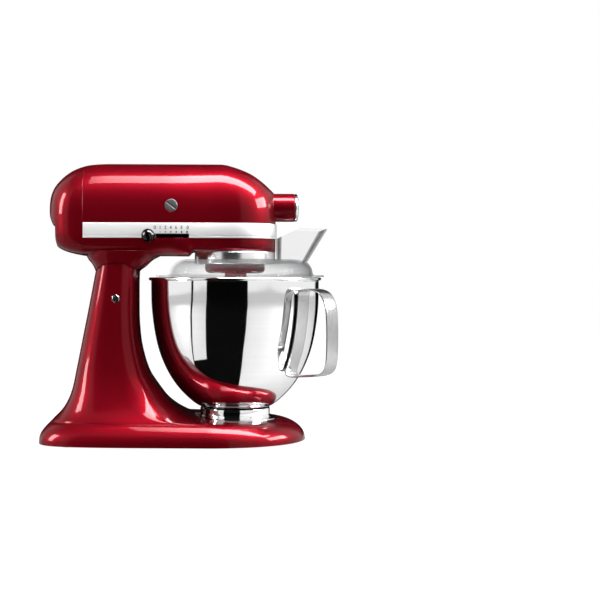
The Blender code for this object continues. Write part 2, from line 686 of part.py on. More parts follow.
def worm(parent):
    """One start, right-handed, with a crest facing the worm wheel at rest."""
    per_pitch = 6
    length = 9 * MM
    stations = int(2 * length / WORM_PITCH * per_pitch)
    rings = []
    for k in range(-stations // 2, stations // 2 + 1):
        x = k * WORM_PITCH / per_pitch
        ring = []
        for i in range(16):
            angle = 2 * pi * i / 16
            phase = x / WORM_PITCH - angle / (2 * pi)
            away = abs(phase - round(phase))
            height = min(max((0.33 - away) / 0.22, 0.0), 1.0)
            radius = WORM_RADIUS + (-1.15 + 2.0 * height) * WORM_MODULE
            ring.append((COUNTER_X + x, radius * cos(angle), MOTOR_Z + radius * sin(angle)))
        rings.append(ring)
    thread = loft("worm", rings, steel(), parent, (COUNTER_X, 0, MOTOR_Z))
    cut(thread, cylinder("worm_bore", 4.3 * MM, (-20 * MM, 0, MOTOR_Z), (60 * MM, 0, MOTOR_Z), 16))


def counter_gears(parent):
    """The upright countershaft: a worm wheel at the top and a pinion near its foot."""
    shaft = scaled([(0, 312), (4, 312), (4, 251.5), (0, 251.5)])
    turned("counter_shaft", shaft, (COUNTER_X, COUNTER_Y, 0), "Z", 16, False, steel(), parent)
    face = 8 * MM
    lead = WORM_PITCH / (2 * pi * WORM_RADIUS)
    rings = []
    for height in (-face / 2, face / 2):
        twist = lead * height / WHEEL_RADIUS
        clock = -pi / 2 + pi / WHEEL_TEETH + twist
        outline = gear_outline(WHEEL_TEETH, WHEEL_RADIUS, 0.85 * WORM_MODULE, 1.15 * WORM_MODULE, TOOTH_FILL,
                               clock, (COUNTER_X, COUNTER_Y))
        rings.append([(x, y, MOTOR_Z + height) for x, y in outline])
    wheel = loft("worm_wheel", rings, bronze(), parent, (COUNTER_X, COUNTER_Y, MOTOR_Z))
    cut(wheel, cylinder("wheel_bore", 4.3 * MM, (COUNTER_X, COUNTER_Y, 0.28),
                        (COUNTER_X, COUNTER_Y, 0.31), 16))
    towards_centre = atan2(-COUNTER_Y, BOWL_X - COUNTER_X)
    spur_gear("drive_pinion", PINION_TEETH, SPUR_MODULE, towards_centre + pi / PINION_TEETH,
              (COUNTER_X, COUNTER_Y), 257.2 * MM, 266.8 * MM, 4.3 * MM, steel(), parent)


def mitre_gear(name, apex, turn, clock, bore, parent):
    """A bevel gear at 45 degrees, below its apex before it is turned."""
    module = 2 * MITRE_RADIUS / MITRE_TEETH
    rise = 0.75 * module
    sink = 1.05 * module
    half = 0.8 * pi / (2 * MITRE_TEETH)
    tip = half - rise * tan(radians(20)) / MITRE_RADIUS
    root = half + sink * tan(radians(16)) / MITRE_RADIUS
    slant = sqrt(0.5)

    def flat_ring(radius, height):
        count = 4 * MITRE_TEETH
        return [(radius * cos(clock + 2 * pi * (i - 1.5) / count),
                 radius * sin(clock + 2 * pi * (i - 1.5) / count), height) for i in range(count)]

    def tooth_ring(scale):
        ring = []
        for i in range(MITRE_TEETH):
            middle = clock + 2 * pi * i / MITRE_TEETH
            for offset, angle in ((-sink, middle - root), (rise, middle - tip), (rise, middle + tip),
                                  (-sink, middle + root)):
                radius = (MITRE_RADIUS + offset * slant) * scale
                height = -(MITRE_RADIUS - offset * slant) * scale
                ring.append((radius * cos(angle), radius * sin(angle), height))
        return ring

    base = -(MITRE_RADIUS + 5 * MM)
    rings = [flat_ring(16 * MM, base), tooth_ring(1.0), tooth_ring(MITRE_FACE),
             flat_ring(12 * MM, -(MITRE_RADIUS + sink * slant) * MITRE_FACE)]
    place = Matrix.Translation(apex) @ turn
    rings = [[place @ Vector(point) for point in ring] for ring in rings]
    gear = loft(name, rings, steel(), parent, apex)
    far = place @ Vector((0, 0, base - 5 * MM))
    cut(gear, cylinder(name + "_bore", bore, far, apex, 16))


def planetary(parent):
    """The carrier that swings the beater shaft round, with the main shaft and its gears."""
    profile = scaled([(0, 235.4), (37.4, 235.4), (38.4, 234.4), (38.4, 219.5), (37.4, 216.4), (34.6, 214.4),
                      (30, 213.8), (0, 213.8)])
    carrier = turned("planetary_hub", profile, (BOWL_X, 0, 0), steps=28, skin=red_paint(), parent=parent)
    boss = (BOWL_X, PLANET_Y, 204 * MM)
    join(carrier, cylinder("shaft_boss", 13.8 * MM, boss, (BOWL_X, PLANET_Y, 220 * MM), 24))
    cut(carrier, cylinder("carrier_bore", 6.3 * MM, (BOWL_X, 0, 0.22), (BOWL_X, 0, 0.24), 20))
    cut(carrier, cylinder("beater_bore", 6.4 * MM, (BOWL_X, PLANET_Y, 0.19), (BOWL_X, PLANET_Y, 0.24), 20))
    shaft = scaled([(0, 284), (5.4, 284), (6, 283), (6, 221), (0, 221)])
    turned("main_shaft", shaft, (BOWL_X, 0, 0), "Z", 20, False, steel(), parent)
    towards_pinion = atan2(COUNTER_Y, COUNTER_X - BOWL_X)
    spur_gear("centre_gear", CENTRE_TEETH, SPUR_MODULE, towards_pinion, (BOWL_X, 0.0), 258 * MM, 266 * MM,
              6.3 * MM, steel(), parent)
    mitre_gear("bevel_gear", Vector((BOWL_X, 0, HUB_Z)), Matrix.Identity(4), pi / MITRE_TEETH, 6.3 * MM,
               parent)


def beater_drive(parent):
    """The shaft that a beater plugs onto. Its pinion rolls inside the ring gear."""
    profile = scaled([(0, 246.8), (6, 246.8), (6, 168), (5, 166), (0, 166)])
    shaft = turned("beater_shaft", profile, (BOWL_X, PLANET_Y, 0), "Z", 20, False, steel(), parent)
    hole = cylinder("beater_pin_hole", 1.8 * MM, (BOWL_X - 20 * MM, PLANET_Y, 174 * MM),
                    (BOWL_X + 20 * MM, PLANET_Y, 174 * MM), 12)
    cut(shaft, hole)
    cylinder("beater_pin", 1.5 * MM, (BOWL_X - 10 * MM, PLANET_Y, 174 * MM),
             (BOWL_X + 10 * MM, PLANET_Y, 174 * MM), 12, steel(), parent)
    spur_gear("planet_pinion", PLANET_TEETH, PLANET_MODULE, -pi / 2, (BOWL_X, PLANET_Y), 237.8 * MM,
              246.4 * MM, 6.25 * MM, steel(), parent)


def hub_drive(parent):
    """The shaft in the attachment hub: a bevel gear behind and a square socket in front."""
    profile = scaled([(0, 116), (9, 116), (9, 98), (7, 97), (7, 72), (0, 72)])
    shaft = turned("hub_shaft", profile, (0, 0, HUB_Z), "X", 24, False, steel(), parent)
    half = 4.4 * MM
    cut(shaft, box("hub_socket", (100 * MM, -half, HUB_Z - half), (120 * MM, half, HUB_Z + half)))
    mitre_gear("hub_gear", Vector((BOWL_X, 0, HUB_Z)), Matrix.Rotation(-pi / 2, 4, "Y"), pi, 7.3 * MM, parent)


# ---------------------------------------------------------------- controls


def speed_control(parent):
    """The speed lever: a ball outside, a stem through the band and a link along the inside."""
    place = (-47 * MM, -70 * MM, 260 * MM)
    bm = bmesh.new()
    bmesh.ops.create_uvsphere(bm, u_segments=14, v_segments=8, radius=8.4 * MM,
                              matrix=Matrix.Translation(place))
    knob = finish("speed_knob", bm, chrome(), parent, place)
    cut(knob, cylinder("knob_socket", 2.6 * MM, (place[0], -67 * MM, place[2]),
                       (place[0], -50 * MM, place[2]), 12))
    lever = cylinder("speed_lever", 2.2 * MM, (place[0], -66.6 * MM, place[2]),
                     (place[0], -44 * MM, place[2]), 12, steel(), parent, place)
    join(lever, box("speed_link", (-116 * MM, -48.5 * MM, 256 * MM), (-38 * MM, -45.5 * MM, 264 * MM)))


def attachment_knob(parent):
    """The thumb screw that clamps an attachment in the hub."""
    profile = scaled([(0, 32), (8, 32), (10, 30), (10, 22), (8.6, 20), (3, 20), (3, 14.6), (0, 14.6)])
    turned("attachment_knob", profile, (128 * MM, 0, HUB_Z), "Y", 20, False, dark_plastic(), parent)


def hub_cap(parent):
    """The cover that swings aside off the attachment hub."""
    profile = scaled([(0, 142.6), (14, 142.4), (17.4, 141), (17.8, 138.3), (0, 138.3)])
    cap = turned("hub_cap", profile, (0, 0, HUB_Z), "X", 32, False, chrome(), parent)
    arm = scaled([(139, 12), (142, 12), (142, 19), (142.6, 20.6), (141.6, 22.4), (140.4, 22.8),
                  (139.2, 22.4), (138.3, 20.6), (139, 19)])
    join(cap, prism("cap_knuckle", arm, "Z", HUB_Z - 10.6 * MM, HUB_Z + 10.6 * MM))
    cut(cap, cylinder("knuckle_bore", 1.5 * MM, (CAP_HINGE[0], CAP_HINGE[1], HUB_Z - 15 * MM),
                      (CAP_HINGE[0], CAP_HINGE[1], HUB_Z + 15 * MM), 12))


# ---------------------------------------------------------------- bowl and shield


BOWL_OUTSIDE = [(106.9, 208.7), (109.4, 208.7), (110.5, 207.6), (110.5, 206.0), (109.4, 205.0), (107.4, 204.2),
                (107.1, 178), (104.6, 151), (99, 121), (89.5, 95), (77, 73.5), (63, 57.6), (46, 44.2),
                (38, 41.2), (0, 40.6)]


def bowl_shell(parent):
    outside = scaled(BOWL_OUTSIDE)
    wall = outside[5:]
    inside = offset_path(wall, BOWL_WALL)
    inside = [(max(r, 0.0), z) for r, z in inside]
    inside[-1] = (0.0, wall[-1][1] + BOWL_WALL)
    inside[0] = (inside[0][0], outside[0][1] - MM)
    profile = list(reversed(inside)) + outside
    turned("bowl", profile, (BOWL_X, 0, 0), "Z", 36, False, chrome(), parent)


def bowl_foot(parent):
    """The ring under the bowl, with two lugs that turn in under the clamp plate's rim."""
    profile = scaled([(41, 41.2), (44.6, 42.2), (44.6, 34), (45.8, 31), (45.8, 27), (41, 27)])
    foot = turned("bowl_foot", profile, (BOWL_X, 0, 0), "Z", 32, True, chrome(), parent)
    for side, centre in (("front", 5), ("rear", 185)):
        angles = np.linspace(centre - 18, centre + 18, 5)
        lug = [(BOWL_X + 48.8 * MM * cos(radians(a)), 48.8 * MM * sin(radians(a))) for a in angles]
        lug += [(BOWL_X + 43 * MM * cos(radians(a)), 43 * MM * sin(radians(a))) for a in reversed(angles)]
        join(foot, prism(f"foot_lug_{side}", lug, "Z", 26.9 * MM, 28.1 * MM))


HANDLE_PATH = [(109.6, 178), (109.9, 190), (113, 193.4), (128, 193.8), (139.5, 191.2), (147.5, 183.5),
               (151.8, 173), (153.2, 158), (153.6, 138), (153.2, 115), (151.5, 101), (147, 93.5), (139, 89.8),
               (124, 88.2), (109, 87.2), (100, 86.4), (92.6, 87.4), (90.4, 92), (94, 101), (101.6, 121),
               (107.1, 151)]


def bowl_handle(parent):
    """A flat steel strap bent to a D, with its back lying along the bowl's wall."""
    path = scaled(HANDLE_PATH)
    curve = bpy.data.curves.new("bowl_handle", "CURVE")
    curve.dimensions = "2D"
    curve.fill_mode = "BOTH"
    curve.extrude = HANDLE_WIDTH / 2
    for side in (-HANDLE_THICK / 2, HANDLE_THICK / 2):
        outline = offset_path(path, side, True)
        spline = curve.splines.new("POLY")
        spline.points.add(len(outline) - 1)
        for point, (radius, height) in zip(spline.points, outline):
            point.co = (radius, height, 0, 1)
        spline.use_cyclic_u = True
    handle = bpy.data.objects.new("bowl_handle", curve)
    handle.location = (BOWL_X, 0, 0)
    handle.rotation_euler = (pi / 2, 0, radians(HANDLE_AZIMUTH))
    register(handle, chrome(), parent)


def pouring_shield(parent):
    """A clear horseshoe dome on the bowl's rim, open at the rear, with a pouring chute in front."""
    profile = scaled([(55, 231), (85, 231), (93, 227.8), (98.2, 220.6), (100.3, 211.2), (114, 211.2),
                      (114, 209.2), (98.4, 209.2), (96.3, 219.4), (91.6, 225.9), (84.5, 229), (55, 229)])
    shield = turned("pouring_shield", profile, (BOWL_X, 0, 0), "Z", 40, True, clear_plastic(), parent)
    cut(shield, box("shield_slot", (BOWL_X - 0.15, -SLOT_HALF, 0.2), (BOWL_X, SLOT_HALF, 0.3)))
    join(shield, chute_solid("chute_outside", [(116.9, 226), (116.9, 259), (141, 270), (176, 269), (150.8, 226)],
                             29.4))
    cut(shield, chute_solid("chute_inside", [(119, 215), (119, 275), (177, 275), (141.8, 215)], 27.4))
    for name, angle in (("left", -32), ("right", 32)):
        hook = box(f"shield_hook_{name}", (111.4 * MM, -8 * MM, 203 * MM), (113.9 * MM, 8 * MM, 210.4 * MM))
        hook.location = (BOWL_X, 0, 0)
        hook.rotation_euler = (0, 0, radians(angle))
        join(shield, hook)


def chute_solid(name, outline, half):
    """A side outline spread to both sides, wider with height so that the chute flares."""
    flare = 0.36
    left = [(x * MM, -(half + flare * (z - 226)) * MM, z * MM) for x, z in outline]
    right = [(x, -y, z) for x, y, z in left]
    return loft(name, [left, right])


# ---------------------------------------------------------------- assembly


def build():
    base_casting()
    rubber_feet()
    bowl_clamp_plate()
    clamp_screws()
    hinge_pin()
    lock_lever(axis_empty("lock_lever_axis", (-83 * MM, 40 * MM, 206 * MM)))

    head = axis_empty("head_tilt_axis", HINGE)
    hollow = head_hollow()
    gearcase(head, hollow)
    motor_housing(head, hollow)
    rear_cover(head, hollow)
    rear_cover_screw(head)
    cord_gland(head)
    trim_band(head)
    brush_caps(head)
    drip_ring(head)
    motor_frame(head)

    speed_control(axis_empty("speed_slide_axis", (-47 * MM, -70 * MM, 260 * MM), head))
    attachment_knob(axis_empty("attachment_knob_axis", (128 * MM, 0, HUB_Z), head))
    hub_cap(axis_empty("hub_cap_axis", CAP_HINGE, head))
    armature(axis_empty("armature_axis", (0, 0, MOTOR_Z), head))
    counter_gears(axis_empty("counter_axis", (COUNTER_X, COUNTER_Y, MOTOR_Z), head))
    hub_drive(axis_empty("hub_drive_axis", (BOWL_X, 0, HUB_Z), head))
    carrier = axis_empty("planetary_axis", (BOWL_X, 0, 0.225), head)
    planetary(carrier)
    beater_drive(axis_empty("beater_axis", (BOWL_X, PLANET_Y, 0.225), carrier))

    bowl_axis = axis_empty("bowl_axis", (BOWL_X, 0, 27 * MM))
    bowl_shell(bowl_axis)
    bowl_foot(bowl_axis)
    bowl_handle(bowl_axis)
    pouring_shield(axis_empty("shield_slide_axis", (BOWL_X, 0, 210 * MM)))


clear_scene()
parts = new_collection("stand_mixer")
cutters = new_collection("cutters")
build()
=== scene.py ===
"""Looks for the tilt-head stand mixer: fine shells, polished metal, clear shield, camera, floor and light."""

import json
from math import cos, pi, radians, sin, sqrt

import bmesh
import bpy
import numpy as np
from mathutils import Matrix, Vector


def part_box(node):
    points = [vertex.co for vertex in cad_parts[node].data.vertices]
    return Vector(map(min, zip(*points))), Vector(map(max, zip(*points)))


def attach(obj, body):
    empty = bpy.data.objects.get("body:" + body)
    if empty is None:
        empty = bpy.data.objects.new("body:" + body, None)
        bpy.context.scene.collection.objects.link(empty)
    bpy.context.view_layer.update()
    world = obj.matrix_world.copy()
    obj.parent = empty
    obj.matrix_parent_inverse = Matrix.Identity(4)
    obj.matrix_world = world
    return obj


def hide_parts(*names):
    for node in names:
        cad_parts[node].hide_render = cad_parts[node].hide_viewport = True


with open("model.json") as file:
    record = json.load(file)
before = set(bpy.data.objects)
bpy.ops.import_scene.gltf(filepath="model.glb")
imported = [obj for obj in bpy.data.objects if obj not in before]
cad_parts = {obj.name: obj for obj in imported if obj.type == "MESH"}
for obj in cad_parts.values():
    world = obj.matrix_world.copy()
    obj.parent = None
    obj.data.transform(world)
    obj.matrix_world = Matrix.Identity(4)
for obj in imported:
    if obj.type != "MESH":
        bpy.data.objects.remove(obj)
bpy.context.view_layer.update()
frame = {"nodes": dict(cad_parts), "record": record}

MM = 0.001


def middle_of(node):
    low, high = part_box(node)
    return (low + high) / 2


BOWL_X = middle_of("bowl_foot").x
HINGE = Vector((-88.0, 0.0, 182.0)) * MM
MOTOR_Z = 297.6 * MM
HUB_Z = 298.0 * MM
SEAM_X = -128.0 * MM
SPLIT_Z = 266.0 * MM
GAP = 0.3 * MM
HEAD_HALF_WIDTH = 58.0 * MM
NOSE_RADIUS = 52.0 * MM
COVER_LENGTH = 45.6 * MM
SHELL_WALL = 3.0 * MM
WIDEST_Z = 285.0 * MM
NOSE_FLOOR_Z = 250.5 * MM
SEAM_RADIUS = 44.5 * MM
CAP_HINGE = (140.4 * MM, 20.6 * MM)
PLANET_Y = -24.0 * MM
HANDLE_AZIMUTH = -42.0
BRUSH_X = -19 * MM
KNOB_X = 128 * MM
COVER_SCREW_Z = 261 * MM
HINGE_BORE = 5.3 * MM
CLAMP_SCREW_HOLE = 2.4 * MM
DIAL_SLOT = (-50.5 * MM, 3 * MM)
DIAL_SLOT_TOP = 262.7 * MM


# ---------------------------------------------------------------- shape helpers


def pchip(xs, ys, at):
    """Monotone cubic interpolation: smooth, and with no overshoot between the given points."""
    xs = np.asarray(xs, float)
    ys = np.asarray(ys, float)
    step = np.diff(xs)
    slope = np.diff(ys) / step
    tangent = np.zeros(len(xs))
    for i in range(1, len(xs) - 1):
        if slope[i - 1] * slope[i] > 0:
            first = 2 * step[i] + step[i - 1]
            second = step[i] + 2 * step[i - 1]
            tangent[i] = (first + second) / (first / slope[i - 1] + second / slope[i])
    tangent[0] = slope[0]
    tangent[-1] = slope[-1]
    spot = np.clip(np.searchsorted(xs, at) - 1, 0, len(xs) - 2)
    t = (np.asarray(at, float) - xs[spot]) / step[spot]
    t = np.clip(t, 0, 1)
    return (ys[spot] * (1 + 2 * t) * (1 - t) ** 2 + tangent[spot] * step[spot] * t * (1 - t) ** 2
            + ys[spot + 1] * t * t * (3 - 2 * t) + tangent[spot + 1] * step[spot] * t * t * (t - 1))


def smooth_rows(rows, count, along=(0, 1), passes=0):
    """The table's rows resampled evenly along the line drawn by two of its columns."""
    rows = np.asarray(rows, float)
    leg = np.hypot(np.diff(rows[:, along[0]]), np.diff(rows[:, along[1]]))
    position = np.concatenate([[0], np.cumsum(leg)])
    at = np.linspace(0, position[-1], count)
    fine = np.stack([pchip(position, column, at) for column in rows.T], axis=1)
    for _ in range(passes):
        fine[1:-1] = (fine[:-2] + 2 * fine[1:-1] + fine[2:]) / 4
    return fine


def quarter(a, b, roundness, count):
    """Evenly spaced points of a superellipse from (a, 0) to (0, b), both ends included."""
    t = np.linspace(0, pi / 2, 240)
    x = a * np.clip(np.cos(t), 0, 1) ** (2 / roundness)
    y = b * np.sin(t) ** (2 / roundness)
    length = np.concatenate([[0], np.cumsum(np.hypot(np.diff(x), np.diff(y)))])
    at = np.linspace(0, length[-1], count + 1)
    return np.interp(at, length, x), np.interp(at, length, y)


def oval(right, left, up, down, powers, count):
    """A closed ring of four superellipse quarters, from the right end by way of the top."""
    per = count // 4
    ring = []
    for a, b, side_x, side_y, roundness, backwards in (
        (right, up, 1, 1, powers[0], False), (left, up, -1, 1, powers[1], True),
        (left, down, -1, -1, powers[2], False), (right, down, 1, -1, powers[3], True)
    ):
        x, y = quarter(a, b, roundness, per)
        points = np.stack([side_x * x, side_y * y], axis=1)
        points = points[::-1] if backwards else points
        ring.extend(points[:-1])
    return np.array(ring)


def fillet(points, radius, closed=False, steps=4):
    """The outline with each corner rounded."""
    points = [Vector(p) for p in points]
    count = len(points)
    done = []
    for i, corner in enumerate(points):
        if not closed and i in (0, count - 1):
            done.append(corner)
            continue
        before = points[i - 1] - corner
        after = points[(i + 1) % count] - corner
        reach = min(radius, before.length * 0.45, after.length * 0.45)
        if reach < 1e-7:
            done.append(corner)
            continue
        start = corner + before.normalized() * reach
        end = corner + after.normalized() * reach
        for k in range(steps + 1):
            t = k / steps
            done.append(start * (1 - t) ** 2 + corner * 2 * t * (1 - t) + end * t * t)
    return [tuple(p) for p in done]


def scaled(points):
    return [tuple(number * MM for number in point) for point in points]


def about_hinge(radius, angle):
    return (HINGE.x + radius * sin(radians(angle)), HINGE.z + radius * cos(radians(angle)))


def build(name, vertices, faces):
    mesh = bpy.data.meshes.new(name)
    mesh.from_pydata([tuple(v) for v in vertices], [], [tuple(f) for f in faces])
    bm = bmesh.new()
    bm.from_mesh(mesh)
    bmesh.ops.remove_doubles(bm, verts=bm.verts, dist=1e-7)
    bmesh.ops.recalc_face_normals(bm, faces=bm.faces)
    bm.to_mesh(mesh)
    bm.free()
    item = bpy.data.objects.new(name, mesh)
    bpy.context.scene.collection.objects.link(item)
    return item


def loft(name, rings, closed=False):
    """A solid through rings of equal count, with a cap at each end unless the rings meet."""
    count = len(rings[0])
    vertices = [point for ring in rings for point in ring]
    faces = []
    pairs = len(rings) if closed else len(rings) - 1
    for r in range(pairs):
        low = r * count
        high = (r + 1) % len(rings) * count
        for i in range(count):
            j = (i + 1) % count
            faces.append((low + i, low + j, high + j, high + i))
    if not closed:
        faces.append(tuple(range(count)))
        faces.append(tuple(range(len(vertices) - count, len(vertices))))
    return build(name, vertices, faces)


def place_axis(axis):
    return {"Z": Matrix.Identity(4), "X": Matrix.Rotation(pi / 2, 4, "Y"),
            "Y": Matrix.Rotation(-pi / 2, 4, "X")}[axis]


def turned(name, profile, place, axis="Z", steps=128, closed=False):
    """A turned piece from (radius, height) pairs. A profile that isn't closed starts and ends on the axis."""
    transform = Matrix.Translation(place) @ place_axis(axis)
    rings = []
    for i in range(steps):
        angle = 2 * pi * i / steps
        rings.append([transform @ Vector((r * cos(angle), r * sin(angle), h)) for r, h in profile])
    count = len(profile)
    vertices = [point for ring in rings for point in ring]
    faces = []
    for i in range(steps):
        j = (i + 1) % steps
        for k in range(count if closed else count - 1):
            n = (k + 1) % count
            faces.append((i * count + k, j * count + k, j * count + n, i * count + n))
    item = build(name, vertices, faces)
    bm = bmesh.new()
    bm.from_mesh(item.data)
    bmesh.ops.dissolve_degenerate(bm, dist=1e-7, edges=bm.edges)
    bmesh.ops.recalc_face_normals(bm, faces=bm.faces)
    bm.to_mesh(item.data)
    bm.free()
    return item


def prism(name, outline, axis, low, high):
    spot = "XYZ".index(axis)
    rings = []
    for level in (low, high):
        ring = []
        for point in outline:
            coordinates = list(point)
            coordinates.insert(spot, level)
            ring.append(tuple(coordinates))
        rings.append(ring)
    return loft(name, rings)


def block(name, low, high):
    outline = [(low[0], low[1]), (high[0], low[1]), (high[0], high[1]), (low[0], high[1])]
    return prism(name, outline, "Z", low[2], high[2])


def rod(name, radius, start, end, sides=64):
    start = Vector(start)
    end = Vector(end)
    turn = Vector((0, 0, 1)).rotation_difference((end - start).normalized()).to_matrix()
    angles = [2 * pi * i / sides for i in range(sides)]
    around = [turn @ Vector((radius * cos(a), radius * sin(a), 0)) for a in angles]
    return loft(name, [[middle + point for point in around] for middle in (start, end)])


def combine(target, tools, operation):
    """Applies a Boolean with each tool to the target's mesh, then removes the tools."""
    for tool in tools:
        boolean = target.modifiers.new("boolean", "BOOLEAN")
        boolean.operation = operation
        boolean.solver = "MANIFOLD"
        boolean.object = tool
    bake(target)
    for tool in tools:
        bpy.data.objects.remove(tool, do_unlink=True)


def final_mesh(item):
    bpy.context.view_layer.update()
    graph = bpy.context.evaluated_depsgraph_get()
    return bpy.data.meshes.new_from_object(item.evaluated_get(graph))


def bake(item):
    mesh = final_mesh(item)
    item.modifiers.clear()
    item.data = mesh


def cut(target, *tools):
    combine(target, tools, "DIFFERENCE")


def join(target, *tools):
    combine(target, tools, "UNION")


def keep(target, tool):
    combine(target, [tool], "INTERSECT")


def soften(item, width):
    """Rounds the sharp edges."""
    bevel = item.modifiers.new("bevel", "BEVEL")
    bevel.width = width
    bevel.segments = 3
    bevel.limit_method = "ANGLE"
    bevel.angle_limit = radians(35)
    bevel.use_clamp_overlap = True
    bake(item)


def dress(item, skin, body, nodes, smooth=32):
    """Gives a finished piece its material, its body and the nodes that it stands for."""
    item.data.materials.clear()
    item.data.materials.append(skin)
    for polygon in item.data.polygons:
        polygon.material_index = 0
    item.data.shade_smooth()
    item.data.set_sharp_from_angle(angle=radians(smooth))
    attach(item, body)
    if nodes:
        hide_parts(*nodes)


# ---------------------------------------------------------------- materials


def shader_of(name):
    made = bpy.data.materials.new(name)
    made.use_nodes = True
    return made, made.node_tree, made.node_tree.nodes["Principled BSDF"]


def add(tree, kind, **settings):
    node = tree.nodes.new(kind)
    for key, value in settings.items():
        if key.startswith("in_"):
            node.inputs[key[3:].replace("_", " ")].default_value = value
        else:
            setattr(node, key, value)
    return node


def texture(tree, kind, scale, stretch=(1, 1, 1), **settings):
    """A texture in the piece's own coordinates, so that it moves with the piece."""
    where = add(tree, "ShaderNodeTexCoord")
    mapping = add(tree, "ShaderNodeMapping")
    mapping.inputs["Scale"].default_value = stretch
    tree.links.new(where.outputs["Object"], mapping.inputs["Vector"])
    node = add(tree, kind, in_Scale=scale, **settings)
    tree.links.new(mapping.outputs["Vector"], node.inputs["Vector"])
    return node


def map_range(tree, source, low, high, start=0.0, stop=1.0, **settings):
    """The source mapped from the range start to stop onto low to high."""
    node = add(tree, "ShaderNodeMapRange", in_From_Min=start, in_From_Max=stop, in_To_Min=low, in_To_Max=high,
               **settings)
    tree.links.new(source, node.inputs["Value"])
    return node.outputs["Result"]


def spread(tree, source, low, high, target):
    """Maps a texture's 0 to 1 value onto low to high and feeds an input."""
    tree.links.new(map_range(tree, source, low, high), target)


def tint(tree, source, dark, light, target):
    node = add(tree, "ShaderNodeMix", data_type="RGBA")
    colours = [socket for socket in node.inputs if socket.type == "RGBA"]
    colours[0].default_value = (*dark, 1)
    colours[1].default_value = (*light, 1)
    tree.links.new(source, node.inputs["Factor"])
    result = [socket for socket in node.outputs if socket.type == "RGBA"][0]
    tree.links.new(result, target)


def bump(tree, source, shader, distance, normal=None):
    node = add(tree, "ShaderNodeBump", in_Distance=distance, in_Strength=1.0)
    tree.links.new(source, node.inputs["Height"])
    if normal:
        tree.links.new(normal, node.inputs["Normal"])
    tree.links.new(node.outputs["Normal"], shader.inputs["Normal"])


def feed(tree, socket, value):
    """Sets the socket to a number, or links another node's output to it."""
    if isinstance(value, (int, float)):
        socket.default_value = value
    else:
        tree.links.new(value, socket)


def math_node(tree, operation, *values):
    node = add(tree, "ShaderNodeMath", operation=operation)
    for socket, value in zip(node.inputs, values):
        feed(tree, socket, value)
    return node.outputs[0]


def choose(tree, test, otherwise, chosen):
    """The chosen value where the test is 1, and the other where it is 0."""
    node = add(tree, "ShaderNodeMix", data_type="FLOAT")
    for socket, value in zip((node.inputs[0], node.inputs[2], node.inputs[3]), (test, otherwise, chosen)):
        feed(tree, socket, value)
    return node.outputs[0]


def surface(name, dark, light, rough, metallic, scale, stretch=(1, 1, 1), relief=0.0, **extra):
    """A material whose colour, roughness and relief all follow one noise."""
    made, tree, shader = shader_of(name)
    noise = texture(tree, "ShaderNodeTexNoise", scale, stretch, in_Detail=4.0)
    tint(tree, noise.outputs["Fac"], dark, light, shader.inputs["Base Color"])
    spread(tree, noise.outputs["Fac"], rough[0], rough[1], shader.inputs["Roughness"])
    shader.inputs["Metallic"].default_value = metallic
    for key, value in extra.items():
        shader.inputs[key.replace("_", " ")].default_value = value
    if relief:
        bump(tree, noise.outputs["Fac"], shader, relief)
    return made


def red_paint():
    """Candy red: a metallic red with fine flakes under a clear coat with a little orange peel."""
    made, tree, shader = shader_of("candy_red")
    flakes = texture(tree, "ShaderNodeTexVoronoi", 2600.0)
    dark = (0.100, 0.0012, 0.0042)
    light = (0.160, 0.0018, 0.0068)
    tint(tree, flakes.outputs["Distance"], dark, light, shader.inputs["Base Color"])
    peel = texture(tree, "ShaderNodeTexNoise", 160.0, in_Detail=2.0)
    spread(tree, peel.outputs["Fac"], 0.37, 0.45, shader.inputs["Roughness"])
    shader.inputs["Metallic"].default_value = 0.42
    shader.inputs["Specular IOR Level"].default_value = 0.0
    shader.inputs["Coat Weight"].default_value = 1.0
    shader.inputs["Coat Roughness"].default_value = 0.05
    shader.inputs["Coat IOR"].default_value = 1.2
    edge = add(tree, "ShaderNodeBevel", samples=4)
    edge.inputs["Radius"].default_value = 0.9 * MM
    bump(tree, peel.outputs["Fac"], shader, 0.00002, edge.outputs["Normal"])
    tree.links.new(edge.outputs["Normal"], shader.inputs["Coat Normal"])
    return made


def polished(name, dark, light, rough, stretch, scale, relief=0.0000015):
    return surface(name, dark, light, rough, 1.0, scale, stretch, relief)


def clear_plastic():
    """A thin clear sheet: a pale veil face on, nearly solid where the sheet is seen along its length. Its
    colour turns near black at those edges, a painted reflection of the dark surroundings.
    """
    made, tree, shader = shader_of("clear_acrylic")
    haze = texture(tree, "ShaderNodeTexNoise", 30.0, in_Detail=2.0)
    edge = add(tree, "ShaderNodeLayerWeight", in_Blend=0.22)
    # Painted reflection: the colour runs from pale grey face on to near black where the sheet is seen edge-on,
    # standing in for the dark surroundings that real edges show.
    tint(tree, edge.outputs["Facing"], (0.40, 0.41, 0.42), (0.03, 0.03, 0.035), shader.inputs["Base Color"])
    shader.inputs["Specular IOR Level"].default_value = 0.05
    veil = map_range(tree, edge.outputs["Facing"], 0.025, 0.95)
    patch = map_range(tree, haze.outputs["Fac"], 0.9, 1.1)
    tree.links.new(math_node(tree, "MULTIPLY", veil, patch), shader.inputs["Alpha"])
    spread(tree, haze.outputs["Fac"], 0.04, 0.10, shader.inputs["Roughness"])
    bump(tree, haze.outputs["Fac"], shader, 0.00004)
    return made


def wound_copper():
    """Enamelled wire: fine bands round the winding."""
    made, tree, shader = shader_of("wound_copper")
    bands = texture(tree, "ShaderNodeTexWave", 420.0, in_Distortion=0.6)
    tint(tree, bands.outputs["Fac"], (0.34, 0.12, 0.05), (0.72, 0.34, 0.17), shader.inputs["Base Color"])
    spread(tree, bands.outputs["Fac"], 0.25, 0.45, shader.inputs["Roughness"])
    shader.inputs["Metallic"].default_value = 0.9
    bump(tree, bands.outputs["Fac"], shader, 0.0002)
    return made


